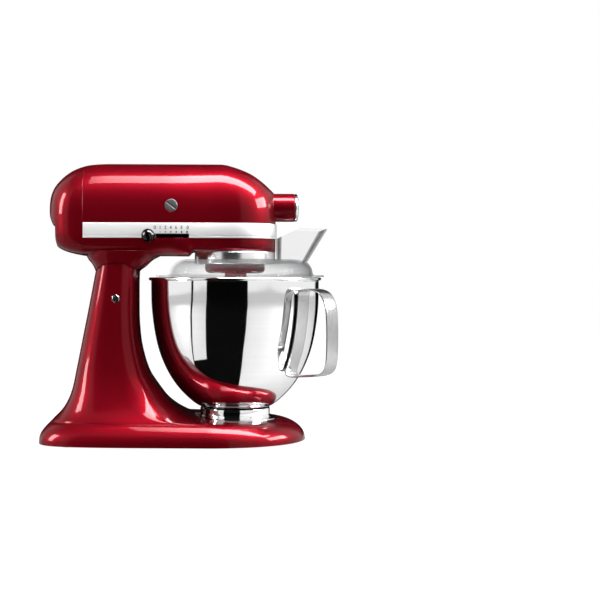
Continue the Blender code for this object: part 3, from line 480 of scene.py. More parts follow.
RED = red_paint()
CHROME = polished("bright_chrome", (0.80, 0.80, 0.81), (0.90, 0.90, 0.91), (0.04, 0.09), (1, 1, 1), 60.0)
BRUSHED = polished("brushed_chrome", (0.72, 0.72, 0.72), (0.82, 0.82, 0.82), (0.16, 0.26), (1, 1, 1), 90.0)
STRAP_STEEL = polished("strap_steel", (0.42, 0.42, 0.42), (0.52, 0.52, 0.52), (0.17, 0.24), (1, 1, 1), 90.0)
DARK_CHROME = polished("dark_chrome", (0.02, 0.02, 0.02), (0.04, 0.04, 0.04), (0.05, 0.10), (1, 1, 1), 60.0)
BOWL_STEEL = polished("polished_steel", (0.86, 0.86, 0.86), (0.93, 0.93, 0.93), (0.03, 0.07), (6, 6, 500),
                      1.0)
SATIN = surface("satin_silver", (0.60, 0.60, 0.60), (0.68, 0.68, 0.68), (0.36, 0.50), 0.25, 1.0,
                (20, 20, 2500), 0.000004)
STEEL = surface("machined_steel", (0.48, 0.48, 0.49), (0.66, 0.66, 0.67), (0.18, 0.36), 1.0, 700.0,
                relief=0.00001)
BRONZE = surface("bearing_bronze", (0.46, 0.30, 0.12), (0.66, 0.46, 0.20), (0.25, 0.42), 1.0, 500.0,
                 relief=0.00001)
PLASTIC = surface("dark_moulded", (0.055, 0.055, 0.06), (0.11, 0.11, 0.115), (0.32, 0.46), 0.0, 900.0,
                  relief=0.00003)
RUBBER = surface("soft_rubber", (0.018, 0.018, 0.018), (0.035, 0.035, 0.035), (0.70, 0.90), 0.0, 600.0,
                 relief=0.00006)
CARBON = surface("brush_carbon", (0.02, 0.02, 0.02), (0.05, 0.05, 0.055), (0.5, 0.7), 0.1, 1200.0,
                 relief=0.00003)
INK = surface("grey_ink", (0.03, 0.03, 0.03), (0.05, 0.05, 0.05), (0.4, 0.6), 0.0, 2000.0)
CLEAR = clear_plastic()
COPPER = wound_copper()

SLOT_SKINS = {"red_paint": RED, "chrome": CHROME, "steel": STEEL, "bronze": BRONZE, "satin_silver": SATIN,
              "dark_plastic": PLASTIC, "rubber": RUBBER, "copper": COPPER, "carbon": CARBON,
              "clear_plastic": CLEAR}


def dress_frame_nodes():
    """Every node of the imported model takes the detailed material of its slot."""
    for row in frame["record"]["subparts"]:
        for held in frame["nodes"][row["node"]].material_slots:
            held.material = SLOT_SKINS[row["material_slot"]]


# ---------------------------------------------------------------- base


# Height, rear end, front end, widest place, half width, front and rear roundness
BASE_SECTIONS = [
    (2.8, -184.9, 151.8, 30, 105.0, 2.15, 5.5), (9.0, -184.9, 151.2, 30, 104.6, 2.15, 5.5),
    (14.0, -183.4, 148.4, 30, 102.8, 2.15, 5.5), (19.0, -180.0, 143.6, 29, 100.0, 2.15, 5.5),
    (23.5, -176.0, 137.0, 28, 96.4, 2.15, 5.3), (27.0, -172.6, 127.0, 26, 92.6, 2.2, 5.0),
    (28.8, -170.8, 109.0, 20, 89.6, 2.25, 4.6), (30.0, -169.6, 60.0, 0, 87.4, 2.4, 4.4),
    (32.0, -167.8, 16.0, -26, 84.5, 2.6, 4.2), (37.0, -162.3, 2.0, -46, 79.5, 2.8, 3.9),
    (45.0, -155.6, -12.0, -60, 73.5, 3.0, 3.7), (55.0, -149.9, -24.0, -70, 68.0, 3.0, 3.5),
    (71.0, -144.4, -36.0, -78, 61.5, 3.0, 3.3), (87.0, -141.2, -46.6, -84, 56.8, 3.0, 3.2),
    (108.0, -137.0, -54.0, -88, 53.2, 3.0, 3.1), (133.0, -132.1, -59.0, -90, 51.0, 3.0, 3.0),
    (165.0, -125.6, -61.0, -90, 49.8, 3.0, 3.0), (195.0, -119.8, -61.0, -89, 49.0, 3.0, 3.0),
    (228.0, -113.4, -60.0, -88, 48.6, 3.0, 3.0),
]
BASE_TAPER = 0.16
TAPER_FROM = 48
TAPER_OVER = 50
BASE_WALL = 4.0
BASE_ROOF = 8.0


def base_ring(section, inset=0.0, height=None, count=192):
    z, rear, front, widest, half, front_power, rear_power = section
    ahead = front - widest - inset
    behind = widest - rear - inset
    half -= inset
    powers = (front_power, rear_power, rear_power, front_power)
    ring = []
    for x, y in oval(ahead, behind, half, half, powers, count):
        narrowing = 1.0
        if x < 0:
            narrowing -= BASE_TAPER * abs(x / behind) * min(1.0, (half + inset - TAPER_FROM) / TAPER_OVER)
        ring.append(((widest + x) * MM, y * narrowing * MM, (z if height is None else height) * MM))
    return ring


# Each foot's place, and the height that its boss reaches inside the base
FOOT_PLACES = [(108, 54, 20), (108, -54, 20), (-146, 58, 22), (-146, -58, 22), (124, 0, 20)]


def clamp_screw_places():
    circle = 28 * MM
    return [(BOWL_X + circle * cos(radians(a)), circle * sin(radians(a))) for a in (10, 130, 250)]


def base_casting():
    rows = smooth_rows(BASE_SECTIONS, 120, (0, 2), 3)
    casting = loft("base_shell", [base_ring(row) for row in rows])
    inner = [base_ring(BASE_SECTIONS[0], BASE_WALL, -5.0, 96)]
    inner += [base_ring(s, BASE_WALL, s[0] - BASE_ROOF, 96) for s in BASE_SECTIONS[2::2] if s[0] < 160]
    cut(casting, loft("hollow", inner))
    bosses = [rod("boss", 10 * MM, (x * MM, y * MM, 3.9 * MM), (x * MM, y * MM, roof * MM), 32)
              for x, y, roof in FOOT_PLACES]
    join(casting, *bosses)
    tools = [rod("hole", 3.3 * MM, (x * MM, y * MM, 0), (x * MM, y * MM, 12 * MM), 24)
             for x, y, _ in FOOT_PLACES]
    tools.append(rod("seat", 53.2 * MM, (BOWL_X, 0, 24.3 * MM), (BOWL_X, 0, 42 * MM), 128))
    tools += [rod("hole", CLAMP_SCREW_HOLE, (x, y, 15 * MM), (x, y, 30 * MM), 24)
              for x, y in clamp_screw_places()]
    arc = [about_hinge(SEAM_RADIUS - 0.2 * MM, angle) for angle in np.linspace(-76, 76, 81)]
    arc += [(HINGE.x + 62 * MM, 260 * MM), (HINGE.x - 62 * MM, 260 * MM)]
    tools.append(prism("top_cut", arc, "Y", -80 * MM, 80 * MM))
    slot = [about_hinge(60 * MM, -30.5), about_hinge(60 * MM, 31)]
    slot += [about_hinge(17.5 * MM, angle) for angle in range(52, 312, 8)]
    tools.append(prism("tongue_slot", slot, "Y", -19.5 * MM, 19.5 * MM))
    tools.append(rod("pin_bore", HINGE_BORE, (HINGE.x, -70 * MM, HINGE.z), (HINGE.x, 70 * MM, HINGE.z), 48))
    tools.append(block("lock_slot", (-102.5 * MM, 29 * MM, 203.4 * MM), (-76.5 * MM, 60 * MM, 208.6 * MM)))
    cut(casting, *tools)
    dress(casting, RED, "base", ["base_casting"])


def clamp_plate():
    profile = scaled([(0, 26.4), (49.4, 26.4), (49.4, 28.5), (46.4, 28.5), (46.4, 29.6), (46.9, 30),
                      (51.6, 30), (52.8, 29), (52.8, 24.6), (0, 24.6)])
    plate = turned("clamp_plate", fillet(profile, 0.5 * MM), (BOWL_X, 0, 0))
    tools = []
    for centre in (55, 235):
        wedge = []
        for radius, angle in ((20, 0), (49.1, -25), (49.6, 0), (49.1, 25)):
            a = radians(centre + angle)
            wedge.append((BOWL_X + radius * MM * cos(a), radius * MM * sin(a)))
        tools.append(prism("way", wedge, "Z", 27 * MM, 33 * MM))
    tools += [rod("hole", CLAMP_SCREW_HOLE, (x, y, 20 * MM), (x, y, 30 * MM), 24)
              for x, y in clamp_screw_places()]
    cut(plate, *tools)
    dress(plate, CHROME, "base", ["bowl_clamp_plate"])


def hinge_pin():
    half = 49.4 * MM
    profile = [(0, half), (4.2 * MM, half), (5 * MM, half - 0.8 * MM), (5 * MM, 0.8 * MM - half),
               (4.2 * MM, -half), (0, -half)]
    pin = turned("pin", fillet(profile, 0.5 * MM), HINGE, "Y", 64)
    slot = block("slot", (HINGE.x - 0.7 * MM, -half - MM, HINGE.z - 6 * MM),
                 (HINGE.x + 0.7 * MM, -half + 1.2 * MM, HINGE.z + 6 * MM))
    cut(pin, slot)
    dress(pin, STRAP_STEEL, "base", ["hinge_pin"])


def lock_lever():
    tab = scaled([(-90, 201), (-76, 201), (-74, 206), (-76, 211), (-90, 211), (-92, 206)])
    lever = prism("lock_tab", fillet(tab, 2 * MM, True), "Y", 49.6 * MM, 57 * MM)
    soften(lever, 0.8 * MM)
    join(lever, block("stem", (-86 * MM, 31 * MM, 203.9 * MM), (-80 * MM, 52 * MM, 208.1 * MM)))
    dress(lever, PLASTIC, "head_lock", ["lock_lever"])


# ---------------------------------------------------------------- head


# The head's side outline in millimetres, as pairs of length and height. The shoulder is where the nose starts.
HEAD_REAR = -173.4
HEAD_SEAM = -128
HEAD_SHOULDER = 61.65
HEAD_TOP = [(-173.4, 300), (-172.8, 308), (-170.7, 316), (-166.6, 324), (-160.2, 331.6), (-151.4, 339.4),
            (-142, 345.2), (-133, 348.8), (-124, 351.2), (-112, 352.5), (-98, 353), (42, 353), (50, 352.2),
            (58, 350), (67.5, 346.9), (77, 343), (84, 339.4), (90, 335.3), (96, 330.8), (101, 326.5),
            (109, 319), (113.6, 314)]
HEAD_BOTTOM = [(-173.4, 297), (-172.6, 290), (-170.6, 281.5), (-167.4, 274), (-163.6, 268.5), (-163.3, 252),
               (-162.9, 248.5), (-161, 246), (-156, 243), (-150, 240.6), (-138, 237.6), (-127, 236), (2, 236),
               (8.5, 241), (113.6, 241)]
# Height, rear end, front end, half width
NECK_SECTIONS = [(206, -114.6, -60.2, 48.6), (217, -116.0, -60.0, 48.6), (221, -117.6, -54.8, 49.0),
                 (225.5, -120.0, -49.6, 49.8), (231, -124.6, -43.6, 51.2), (236, -127.0, -34.0, 53.0),
                 (242, -127.4, -28.0, 55.0)]


NOSE_TIP = 0.8 * MM
SWELL_LENGTH = 90 * MM
COVER_POWER = 2.6
LEAST_HALF_WIDTH = 4 * MM


def half_width(x, inset=0.0):
    nose = x - BOWL_X
    radius = NOSE_RADIUS - inset
    if nose > 0:
        return sqrt(max(radius**2 - nose**2, NOSE_TIP ** 2))
    grow = min(-nose / SWELL_LENGTH, 1.0)
    grow = grow * grow * (3 - 2 * grow)
    half = radius + (HEAD_HALF_WIDTH - NOSE_RADIUS) * grow
    behind = (SEAM_X - x) / (COVER_LENGTH - inset / 2)
    if behind > 0:
        half *= max(1 - min(behind, 1.0) ** COVER_POWER, 0.0) ** (1 / COVER_POWER)
    return max(half, LEAST_HALF_WIDTH)


def head_stations():
    """Where the head is cut across: closely at its ends, its chin and the rear cover's step."""
    rear = HEAD_REAR + (HEAD_SEAM - HEAD_REAR) * np.linspace(0, 1, 34) ** 1.9
    middle = np.concatenate([np.arange(-127, 0, 4), np.arange(0, 10.6, 0.75), np.arange(12, 60, 4)])
    nose = HEAD_SHOULDER + 52 * np.sin(np.radians(np.arange(0, 87, 2.5)))
    return sorted(set(np.round(np.concatenate([rear, [-163.6, -163.3], middle, nose, [113.4]]), 3)))


def head_ring(x, inset=0.0, count=160):
    top = float(pchip(*np.array(HEAD_TOP).T * MM, x)) - inset
    bottom = float(pchip(*np.array(HEAD_BOTTOM).T * MM, x)) + inset
    if inset and x > 7 * MM:
        bottom = NOSE_FLOOR_Z
    half = half_width(x, inset)
    middle = min(max(WIDEST_Z, bottom + MM), top - MM)
    squareness = np.interp(x, (-20 * MM, 8 * MM), (5.0, 14.0))
    powers = (2.3, 2.3, squareness, squareness)
    return [(x, y, middle + z) for y, z in oval(half, half, top - middle, middle - bottom, powers, count)]


def head_solid(name):
    return loft(name, [head_ring(x * MM) for x in head_stations()])


def head_hollow():
    inside = [x for x in head_stations() if HEAD_REAR + 4.3 < x < 109.3]
    return loft("hollow", [head_ring(x * MM, SHELL_WALL, 80) for x in inside])


def neck_solid():
    rings = []
    for z, rear, front, half in smooth_rows(NECK_SECTIONS, 40, (0, 2), 2):
        centre = (rear + front) / 2
        reach = (front - rear) / 2
        ring = oval(reach, reach, half, half, (3, 3, 3, 3), 160)
        rings.append([((centre + x) * MM, y * MM, z * MM) for x, y in ring])
    return loft("neck", rings)


def gearcase():
    case = head_solid("gearcase_shell")
    keep(case, block("block", (SEAM_X, -0.1, 0.18), (0.13, 0.1, SPLIT_Z - GAP / 2)))
    join(case, neck_solid())
    arc = rod("arc", SEAM_RADIUS + 0.2 * MM, (HINGE.x, -0.08, HINGE.z), (HINGE.x, 0.08, HINGE.z), 192)
    cut(case, arc, head_hollow())
    tongue = [about_hinge(52 * MM, 12), about_hinge(52 * MM, 28)]
    tongue += [about_hinge(15 * MM, angle) for angle in range(45, 360, 8)]
    join(case, prism("tongue", tongue, "Y", -18 * MM, 18 * MM))
    cut(case, rod("bore", HINGE_BORE, (HINGE.x, -30 * MM, HINGE.z), (HINGE.x, 30 * MM, HINGE.z)),
        rod("pocket", 48.2 * MM, (BOWL_X, 0, 0.2), (BOWL_X, 0, 247 * MM), 128),
        rod("bearing", 11.1 * MM, (BOWL_X, 0, 0.23), (BOWL_X, 0, 0.26)),
        block("slot", (DIAL_SLOT[0], -70 * MM, 257.3 * MM), (DIAL_SLOT[1], -40 * MM, DIAL_SLOT_TOP)))
    dress(case, RED, "head", ["gearcase"])


def motor_housing():
    housing = head_solid("housing_shell")
    keep(housing, block("block", (SEAM_X, -0.1, SPLIT_Z + GAP / 2), (0.13, 0.1, 0.36)))
    barrel = scaled([(0, 90), (18, 90), (18, 136.6), (17.4, 138), (0, 138)])
    join(housing, turned("barrel", fillet(barrel, 0.8 * MM), (0, 0, HUB_Z), "X", 128))
    tools = [head_hollow(), rod("hub_bore", 14.1 * MM, (0.08, 0, HUB_Z), (0.15, 0, HUB_Z), 96),
             rod("brush_bore", 8.1 * MM, (BRUSH_X, -0.08, MOTOR_Z), (BRUSH_X, 0.08, MOTOR_Z)),
             rod("knob_bore", 3.4 * MM, (KNOB_X, 5 * MM, HUB_Z), (KNOB_X, 25 * MM, HUB_Z))]
    cut(housing, *tools)
    ear = scaled([(130, 10), (137.6, 10), (137.6, 18), (142.6, 18), (142.6, 23), (138, 23), (130, 18)])
    for low in (-14 * MM, 11 * MM):
        join(housing, prism("ear", fillet(ear, 0.9 * MM, True), "Z", HUB_Z + low, HUB_Z + low + 3 * MM))
    cut(housing, rod("pin_bore", 1.5 * MM, (*CAP_HINGE, HUB_Z - 20 * MM), (*CAP_HINGE, HUB_Z + 20 * MM), 24))
    dress(housing, RED, "head", ["motor_housing"])


def rear_cover():
    cover = head_solid("cover_shell")
    keep(cover, block("block", (-0.18, -0.1, 0.2), (SEAM_X - GAP, 0.1, 0.36)))
    cut(cover, head_hollow(),
        rod("screw_hole", 2.3 * MM, (-0.18, 0, COVER_SCREW_Z), (-0.15, 0, COVER_SCREW_Z), 32),
        rod("gland_hole", 7.3 * MM, (-140 * MM, 0.04, 262 * MM), (-140 * MM, 0.07, 262 * MM)))
    dress(cover, RED, "head", ["rear_cover"])
    profile = scaled([(0, -166.4), (2.6, -166.2), (3.8, -165.2), (3.8, -163.9), (2.1, -163.9), (2.1, -152),
                      (0, -152)])
    screw = turned("cover_screw", fillet(profile, 0.4 * MM), (0, 0, COVER_SCREW_Z), "X", 48)
    cut(screw, block("slot", (-0.17, -5 * MM, 260.4 * MM), (-165.4 * MM, 5 * MM, 261.6 * MM)))
    dress(screw, STEEL, "head", ["rear_cover_screw"])


# Height, and how far the band stands out from the head
BAND_SECTION = [(257.4, 0.4), (257.4, 1.1), (257.8, 1.5), (259.5, 1.5), (259.9, 1.0), (260.5, 1.0),
                (260.9, 1.5), (275.4, 1.5), (276.0, 1.2), (276.2, 0.8), (276.2, 0.4)]


def trim_band():
    path = []
    for x in np.linspace(-127.6, HEAD_SHOULDER, 60):
        path.append((x * MM, -half_width(x * MM), 0.0, -1.0))
    for angle in np.linspace(-87, 0, 30):
        a = radians(angle)
        path.append((BOWL_X + NOSE_RADIUS * cos(a), NOSE_RADIUS * sin(a), cos(a), sin(a)))
    path += [(x, -y, out_x, -out_y) for x, y, out_x, out_y in reversed(path[:-1])]
    rings = []
    for x, y, out_x, out_y in path:
        rings.append([(x + out_x * out * MM, y + out_y * out * MM, z * MM) for z, out in BAND_SECTION])
    band = loft("band", rings)
    cut(band, block("slot", (DIAL_SLOT[0], -70 * MM, 250 * MM), (DIAL_SLOT[1], -40 * MM, DIAL_SLOT_TOP)))
    dress(band, SATIN, "head", ["trim_band"])


DIAL_START = -39.1
DIAL_STEP = 6.5


def dial_marks():
    """The speed scale: generic numbers, with a row of dots that grow."""
    for i, digit in enumerate(("0", "1", "2", "4", "6", "8", "10")):
        x = (DIAL_START + DIAL_STEP * i) * MM
        text = bpy.data.curves.new("dial_" + digit, "FONT")
        text.body = digit
        text.size = 5.8 * MM
        text.extrude = 0.03 * MM
        text.offset = 0.09 * MM
        text.align_x = "CENTER"
        item = bpy.data.objects.new("dial_" + digit, text)
        bpy.context.scene.collection.objects.link(item)
        y = -half_width(x) - 1.52 * MM
        item.matrix_world = Matrix.Translation((x, y, 268.2 * MM)) @ Matrix.Rotation(pi / 2, 4, "X")
        item = bake_text(item)
        dress(item, INK, "head", [])
        if i:
            radius = (0.4 + 0.22 * i) * MM
            disc = [(0, 0.04 * MM), (radius, 0.04 * MM), (radius, 0), (0, 0)]
            dot = turned("dial_dot_" + digit, disc, (x, y, 264.6 * MM), "Y", 32)
            dress(dot, INK, "head", [])


def bake_text(item):
    """Replaces a text object by its mesh, so that it is a plain piece."""
    mesh = final_mesh(item)
    name = item.name
    world = item.matrix_world.copy()
    bpy.data.objects.remove(item, do_unlink=True)
    made = bpy.data.objects.new(name, mesh)
    bpy.context.scene.collection.objects.link(made)
    made.matrix_world = world
    return made


def brush_caps():
    for side, sign in (("left", -1), ("right", 1)):
        profile = scaled([(0, 58.4), (5.6, 58.4), (7.2, 58.0), (7.8, 57.2), (7.8, 45), (0, 45)])
        cap = turned("cap_" + side, fillet(profile, 0.5 * MM), (BRUSH_X, 0, MOTOR_Z), "Y", 96)
        if sign < 0:
            cap.data.transform(Matrix.Scale(-1, 4, (0, 1, 0)))
            cap.data.flip_normals()
        slot = block("slot", (-9 * MM, -1.1 * MM, -1.1 * MM), (9 * MM, 1.1 * MM, 1.1 * MM))
        slot.matrix_world = (Matrix.Translation((BRUSH_X, sign * 58.4 * MM, MOTOR_Z))
                             @ Matrix.Rotation(radians(37), 4, "Y") @ Matrix.Rotation(radians(45), 4, "X"))
        cut(cap, slot)
        dress(cap, PLASTIC, "head", ["brush_cap_" + side])


def drip_ring():
    profile = scaled([(48.8, 240.6), (51.7, 240.6), (51.7, 226.4), (50.8, 225.6), (46.5, 225.6),
                      (46.5, 227.4), (49.2, 228.4)])
    ring = turned("drip_collar", fillet(profile, 0.6 * MM, True), (BOWL_X, 0, 0), closed=True, steps=160)
    dress(ring, BRUSHED, "head", ["drip_ring"])


def planetary_hub():
    profile = scaled([(0, 235.4), (37.4, 235.4), (38.4, 234.4), (38.4, 219.5), (37.4, 216.4), (34.6, 214.4),
                      (30, 213.8), (0, 213.8)])
    carrier = turned("planetary_shell", fillet(profile, 1.5 * MM), (BOWL_X, 0, 0), steps=128)
    boss = scaled([(0, 220), (13.8, 220), (13.8, 205), (12.8, 204), (0, 204)])
    join(carrier, turned("boss", fillet(boss, 0.8 * MM), (BOWL_X, PLANET_Y, 0), steps=96))
    cut(carrier, rod("bore", 6.3 * MM, (BOWL_X, 0, 0.22), (BOWL_X, 0, 0.24)),
        rod("bore", 6.4 * MM, (BOWL_X, PLANET_Y, 0.19), (BOWL_X, PLANET_Y, 0.24)))
    dress(carrier, RED, "planetary", ["planetary_hub"])


def speed_knob():
    profile = [(0, 8.4)]
    profile += [(8.4 * cos(radians(a)), 8.4 * sin(radians(a))) for a in np.arange(86, -62, -4)]
    profile += [(3.6, -7.9), (0, -7.9)]
    knob = turned("knob_ball", scaled(profile), (-47 * MM, -70 * MM, 260 * MM), "Y", 96)
    knob.data.transform(Matrix.Translation((0, -140 * MM, 0)) @ Matrix.Scale(-1, 4, (0, 1, 0)))
    knob.data.flip_normals()
    dress(knob, DARK_CHROME, "speed_control", ["speed_knob"])


def attachment_knob():
    """The clamping thumb screw, with a fluted grip."""
    profile = scaled([(0, 32), (8, 32), (10, 30), (10, 22), (8.6, 20), (3, 20), (3, 14.6), (0, 14.6)])
    heights = fillet(profile, 0.6 * MM)
    steps = 120
    vertices = []
    for i in range(steps):
        angle = 2 * pi * i / steps
        flute = 0.5 * MM * max(cos(12 * angle), 0)
        for r, h in heights:
            radius = r - flute if r > 8.5 * MM else r
            vertices.append((KNOB_X + radius * cos(angle), h, HUB_Z + radius * sin(angle)))
    count = len(heights)
    faces = []
    for i in range(steps):
        j = (i + 1) % steps
        for k in range(count - 1):
            faces.append((i * count + k, j * count + k, j * count + k + 1, i * count + k + 1))
    knob = build("thumb_screw", vertices, faces)
    dress(knob, PLASTIC, "hub_knob", ["attachment_knob"])


def hub_cap():
    profile = scaled([(0, 142.6), (13.5, 142.5), (16.6, 141.6), (17.8, 140.2), (17.8, 138.3), (0, 138.3)])
    cap = turned("hub_cover", fillet(profile, 0.8 * MM), (0, 0, HUB_Z), "X", 128)
    arm = scaled([(139, 12), (142, 12), (142, 19), (142.6, 20.6), (141.6, 22.4), (140.4, 22.8),
                  (139.2, 22.4), (138.3, 20.6), (139, 19)])
    join(cap, prism("knuckle", fillet(arm, 0.5 * MM, True), "Z", HUB_Z - 10.6 * MM, HUB_Z + 10.6 * MM))
    cut(cap, rod("bore", 1.5 * MM, (*CAP_HINGE, HUB_Z - 15 * MM), (*CAP_HINGE, HUB_Z + 15 * MM), 24))
    dress(cap, CHROME, "cap", ["hub_cap"])


# ---------------------------------------------------------------- bowl and shield


# Radius and height
BOWL_OUTSIDE = [(107.4, 204.6), (107.1, 178), (104.6, 151), (99, 121), (89.5, 95), (77, 73.5), (63, 57.6),
                (46, 44.2), (38, 41.2), (0, 40.6)]
BOWL_WALL = 1.3


def bowl():
    wall = smooth_rows(BOWL_OUTSIDE, 150, passes=24)
    along = np.gradient(wall, axis=0)
    along /= np.hypot(*along.T)[:, None]
    inside = wall + np.stack([along[:, 1], -along[:, 0]], axis=1) * BOWL_WALL
    inside[:, 0] = np.maximum(inside[:, 0], 0)
    inside[-1] = (0, wall[-1, 1] + BOWL_WALL)
    bead = [(108.55 + 2.0 * cos(radians(a)), 206.7 + 2.0 * sin(radians(a))) for a in range(150, -131, -20)]
    profile = [tuple(p) for p in inside[::-1]] + bead + [tuple(p) for p in wall]
    shell = turned("bowl_shell", scaled(profile), (BOWL_X, 0, 0), steps=192)
    dress(shell, BOWL_STEEL, "mixing_bowl", ["bowl"], 50)


def bowl_foot():
    profile = scaled([(41, 41.2), (44.6, 42.2), (44.6, 34), (45.8, 31), (45.8, 27), (41, 27)])
    foot = turned("foot_ring", fillet(profile, 0.8 * MM, True), (BOWL_X, 0, 0), closed=True, steps=160)
    for centre in (5, 185):
        angles = np.linspace(centre - 18, centre + 18, 19)
        lug = [(BOWL_X + 48.8 * MM * cos(radians(a)), 48.8 * MM * sin(radians(a))) for a in angles]
        lug += [(BOWL_X + 43 * MM * cos(radians(a)), 43 * MM * sin(radians(a))) for a in reversed(angles)]
        join(foot, prism("lug", lug, "Z", 26.9 * MM, 28.1 * MM))
    dress(foot, BOWL_STEEL, "mixing_bowl", ["bowl_foot"])


# Distance from the bowl's axis, and height
HANDLE_PATH = [(109.6, 178), (109.9, 190), (113, 193.4), (128, 193.8), (139.5, 191.2), (147.5, 183.5),
               (151.8, 173), (153.2, 158), (153.6, 138), (153.2, 115), (151.5, 101), (147, 93.5), (139, 89.8),
               (124, 88.2), (109, 87.2), (100, 86.4), (92.6, 87.4), (90.4, 92), (94, 101), (101.6, 121),
               (107.1, 151)]


def bowl_handle():
    """A flat steel strap bent to a closed D, with rounded edges."""
    path = np.array(HANDLE_PATH)
    for _ in range(3):
        ahead = np.roll(path, -1, axis=0)
        path = np.stack([path * 0.75 + ahead * 0.25, path * 0.25 + ahead * 0.75], axis=1).reshape(-1, 2)
    along = np.roll(path, -1, axis=0) - np.roll(path, 1, axis=0)
    along /= np.hypot(*along.T)[:, None]
    section = oval(1.3, 1.3, 12, 12, (4, 4, 4, 4), 40)
    turn = Matrix.Translation((BOWL_X, 0, 0)) @ Matrix.Rotation(radians(HANDLE_AZIMUTH), 4, "Z")
    rings = []
    for (r, z), (dr, dz) in zip(path, along):
        rings.append([turn @ (Vector((r + dz * thick, side, z - dr * thick)) * MM)
                      for thick, side in section])
    handle = loft("handle_strap", rings, True)
    dress(handle, STRAP_STEEL, "mixing_bowl", ["bowl_handle"])


CHUTE_FOOT = 226
CHUTE_FLARE = 0.36


def chute_solid(outline, half):
    """A prism across the side outline, which widens with height."""
    left = [(x * MM, -(half + CHUTE_FLARE * (z - CHUTE_FOOT)) * MM, z * MM) for x, z in outline]
    right = [(x, -y, z) for x, y, z in left]
    return loft("chute", [left, right])


def pouring_shield():
    profile = scaled([(55, 231), (85, 231), (93, 227.8), (98.2, 220.6), (100.3, 211.2), (114, 211.2),
                      (114, 209.2), (98.4, 209.2), (96.3, 219.4), (91.6, 225.9), (84.5, 229), (55, 229)])
    shield = turned("shield_dome", fillet(profile, 3 * MM, True, 5), (BOWL_X, 0, 0), closed=True, steps=160)
    cut(shield, block("slot", (BOWL_X - 0.15, -55 * MM, 0.2), (BOWL_X, 55 * MM, 0.3)))
    join(shield, chute_solid([(116.9, 226), (116.9, 259), (141, 270), (176, 269), (150.8, 226)], 29.4))
    cut(shield, chute_solid([(119, 215), (119, 275), (177, 275), (141.8, 215)], 27.4))
    for angle in (-32, 32):
        hook = block("hook", (111.4 * MM, -8 * MM, 203 * MM), (113.9 * MM, 8 * MM, 210.4 * MM))
        hook.matrix_world = Matrix.Translation((BOWL_X, 0, 0)) @ Matrix.Rotation(radians(angle), 4, "Z")
        join(shield, hook)
    dress(shield, CLEAR, "shield", ["pouring_shield"])


# ---------------------------------------------------------------- studio


# The shift keeps the machine left of the middle, where the view has it.
CAMERA_PLACE = (0.01285, -1.56, 0.206)
CAMERA_LENS = 72.84
CAMERA_SHIFT = 0.09
CAMERA_DROP = 0.97
CAMERA_TURN = -2.31


def camera():
    data = bpy.data.cameras.new("camera")
    data.lens = CAMERA_LENS
    data.sensor_width = 36.0
    data.clip_start = 0.05
    item = bpy.data.objects.new("camera", data)
    item.location = CAMERA_PLACE
    data.shift_x = CAMERA_SHIFT
    item.rotation_euler = (radians(90 - CAMERA_DROP), 0, radians(CAMERA_TURN))
    bpy.context.scene.collection.objects.link(item)
    bpy.context.scene.camera = item


def flat_card(name, width, height):
    x = width / 2
    y = height / 2
    return build(name, [(-x, -y, 0), (x, -y, 0), (x, y, 0), (-x, y, 0)], [(0, 1, 2, 3)])


FLOOR_SIDE = 12.0
FLOOR_GLOW_SEEN = 0.97
FLOOR_GLOW = 0.48
FLOOR_GLOW_LESS = 0.20


def floor():
    """A floor that glows, so that it looks pale to the camera and throws less light on the machine."""
    item = flat_card("floor", FLOOR_SIDE, FLOOR_SIDE)
    made, tree, shader = shader_of("pale_floor")
    noise = texture(tree, "ShaderNodeTexNoise", 30.0, in_Detail=3.0)
    tint(tree, noise.outputs["Fac"], (0.09, 0.09, 0.09), (0.11, 0.11, 0.11), shader.inputs["Base Color"])
    shader.inputs["Roughness"].default_value = 0.7
    shader.inputs["Emission Color"].default_value = (1, 1, 1, 1)
    path = add(tree, "ShaderNodeLightPath")
    less = math_node(tree, "MULTIPLY", path.outputs["Is Diffuse Ray"], FLOOR_GLOW_LESS)
    glow = math_node(tree, "SUBTRACT", FLOOR_GLOW, less)
    glow = choose(tree, path.outputs["Is Camera Ray"], glow, FLOOR_GLOW_SEEN)
    tree.links.new(glow, shader.inputs["Emission Strength"])
    item.data.materials.append(made)


def reflections_only(item):
    for ray in ("camera", "diffuse", "shadow", "transmission"):
        setattr(item, "visible_" + ray, False)


# Direction from the bowl's axis in degrees, and distance in metres
DARK_CORNERS = [(4, 0.1), (9, 0.3), (15, 2), (15, 30), (-40, 30), (-40, 0.22), (-50, 0.22), (-60, 0.22),
                (-60, 0.1), (-59.5, 30), (-62.5, 30), (142, 0.13), (180, 0.13), (218, 0.13), (218, 30),
                (180, 30), (142, 30)]
DARK_FACES = [(0, 1, 2, 5), (2, 3, 4, 5), (0, 5, 6, 7, 8), (8, 9, 10), (11, 12, 15, 16), (12, 13, 14, 15)]


def dark_card():
    """Dark stretches of floor, in front of the machine and behind it, seen only in reflections."""
    corners = []
    for azimuth, reach in DARK_CORNERS:
        corners.append((BOWL_X + reach * sin(radians(azimuth)), -reach * cos(radians(azimuth)), 0.001))
    item = build("dark_card", corners, DARK_FACES)
    made, tree, shader = shader_of("dark_card")
    noise = texture(tree, "ShaderNodeTexNoise", 20.0)
    tint(tree, noise.outputs["Fac"], (0.002, 0.002, 0.002), (0.004, 0.004, 0.004),
         shader.inputs["Base Color"])
    shader.inputs["Roughness"].default_value = 1.0
    shader.inputs["Specular IOR Level"].default_value = 0.0
    item.data.materials.append(made)
    reflections_only(item)


def between(tree, value, low, high, soft):
    """1 where value is between low and high, with soft ends."""
    rise = map_range(tree, value, 0.0, 1.0, low - soft, low + soft, interpolation_type="SMOOTHSTEP")
    fall = map_range(tree, value, 1.0, 0.0, high - soft, high + soft, interpolation_type="SMOOTHSTEP")
    return math_node(tree, "MULTIPLY", rise, fall)


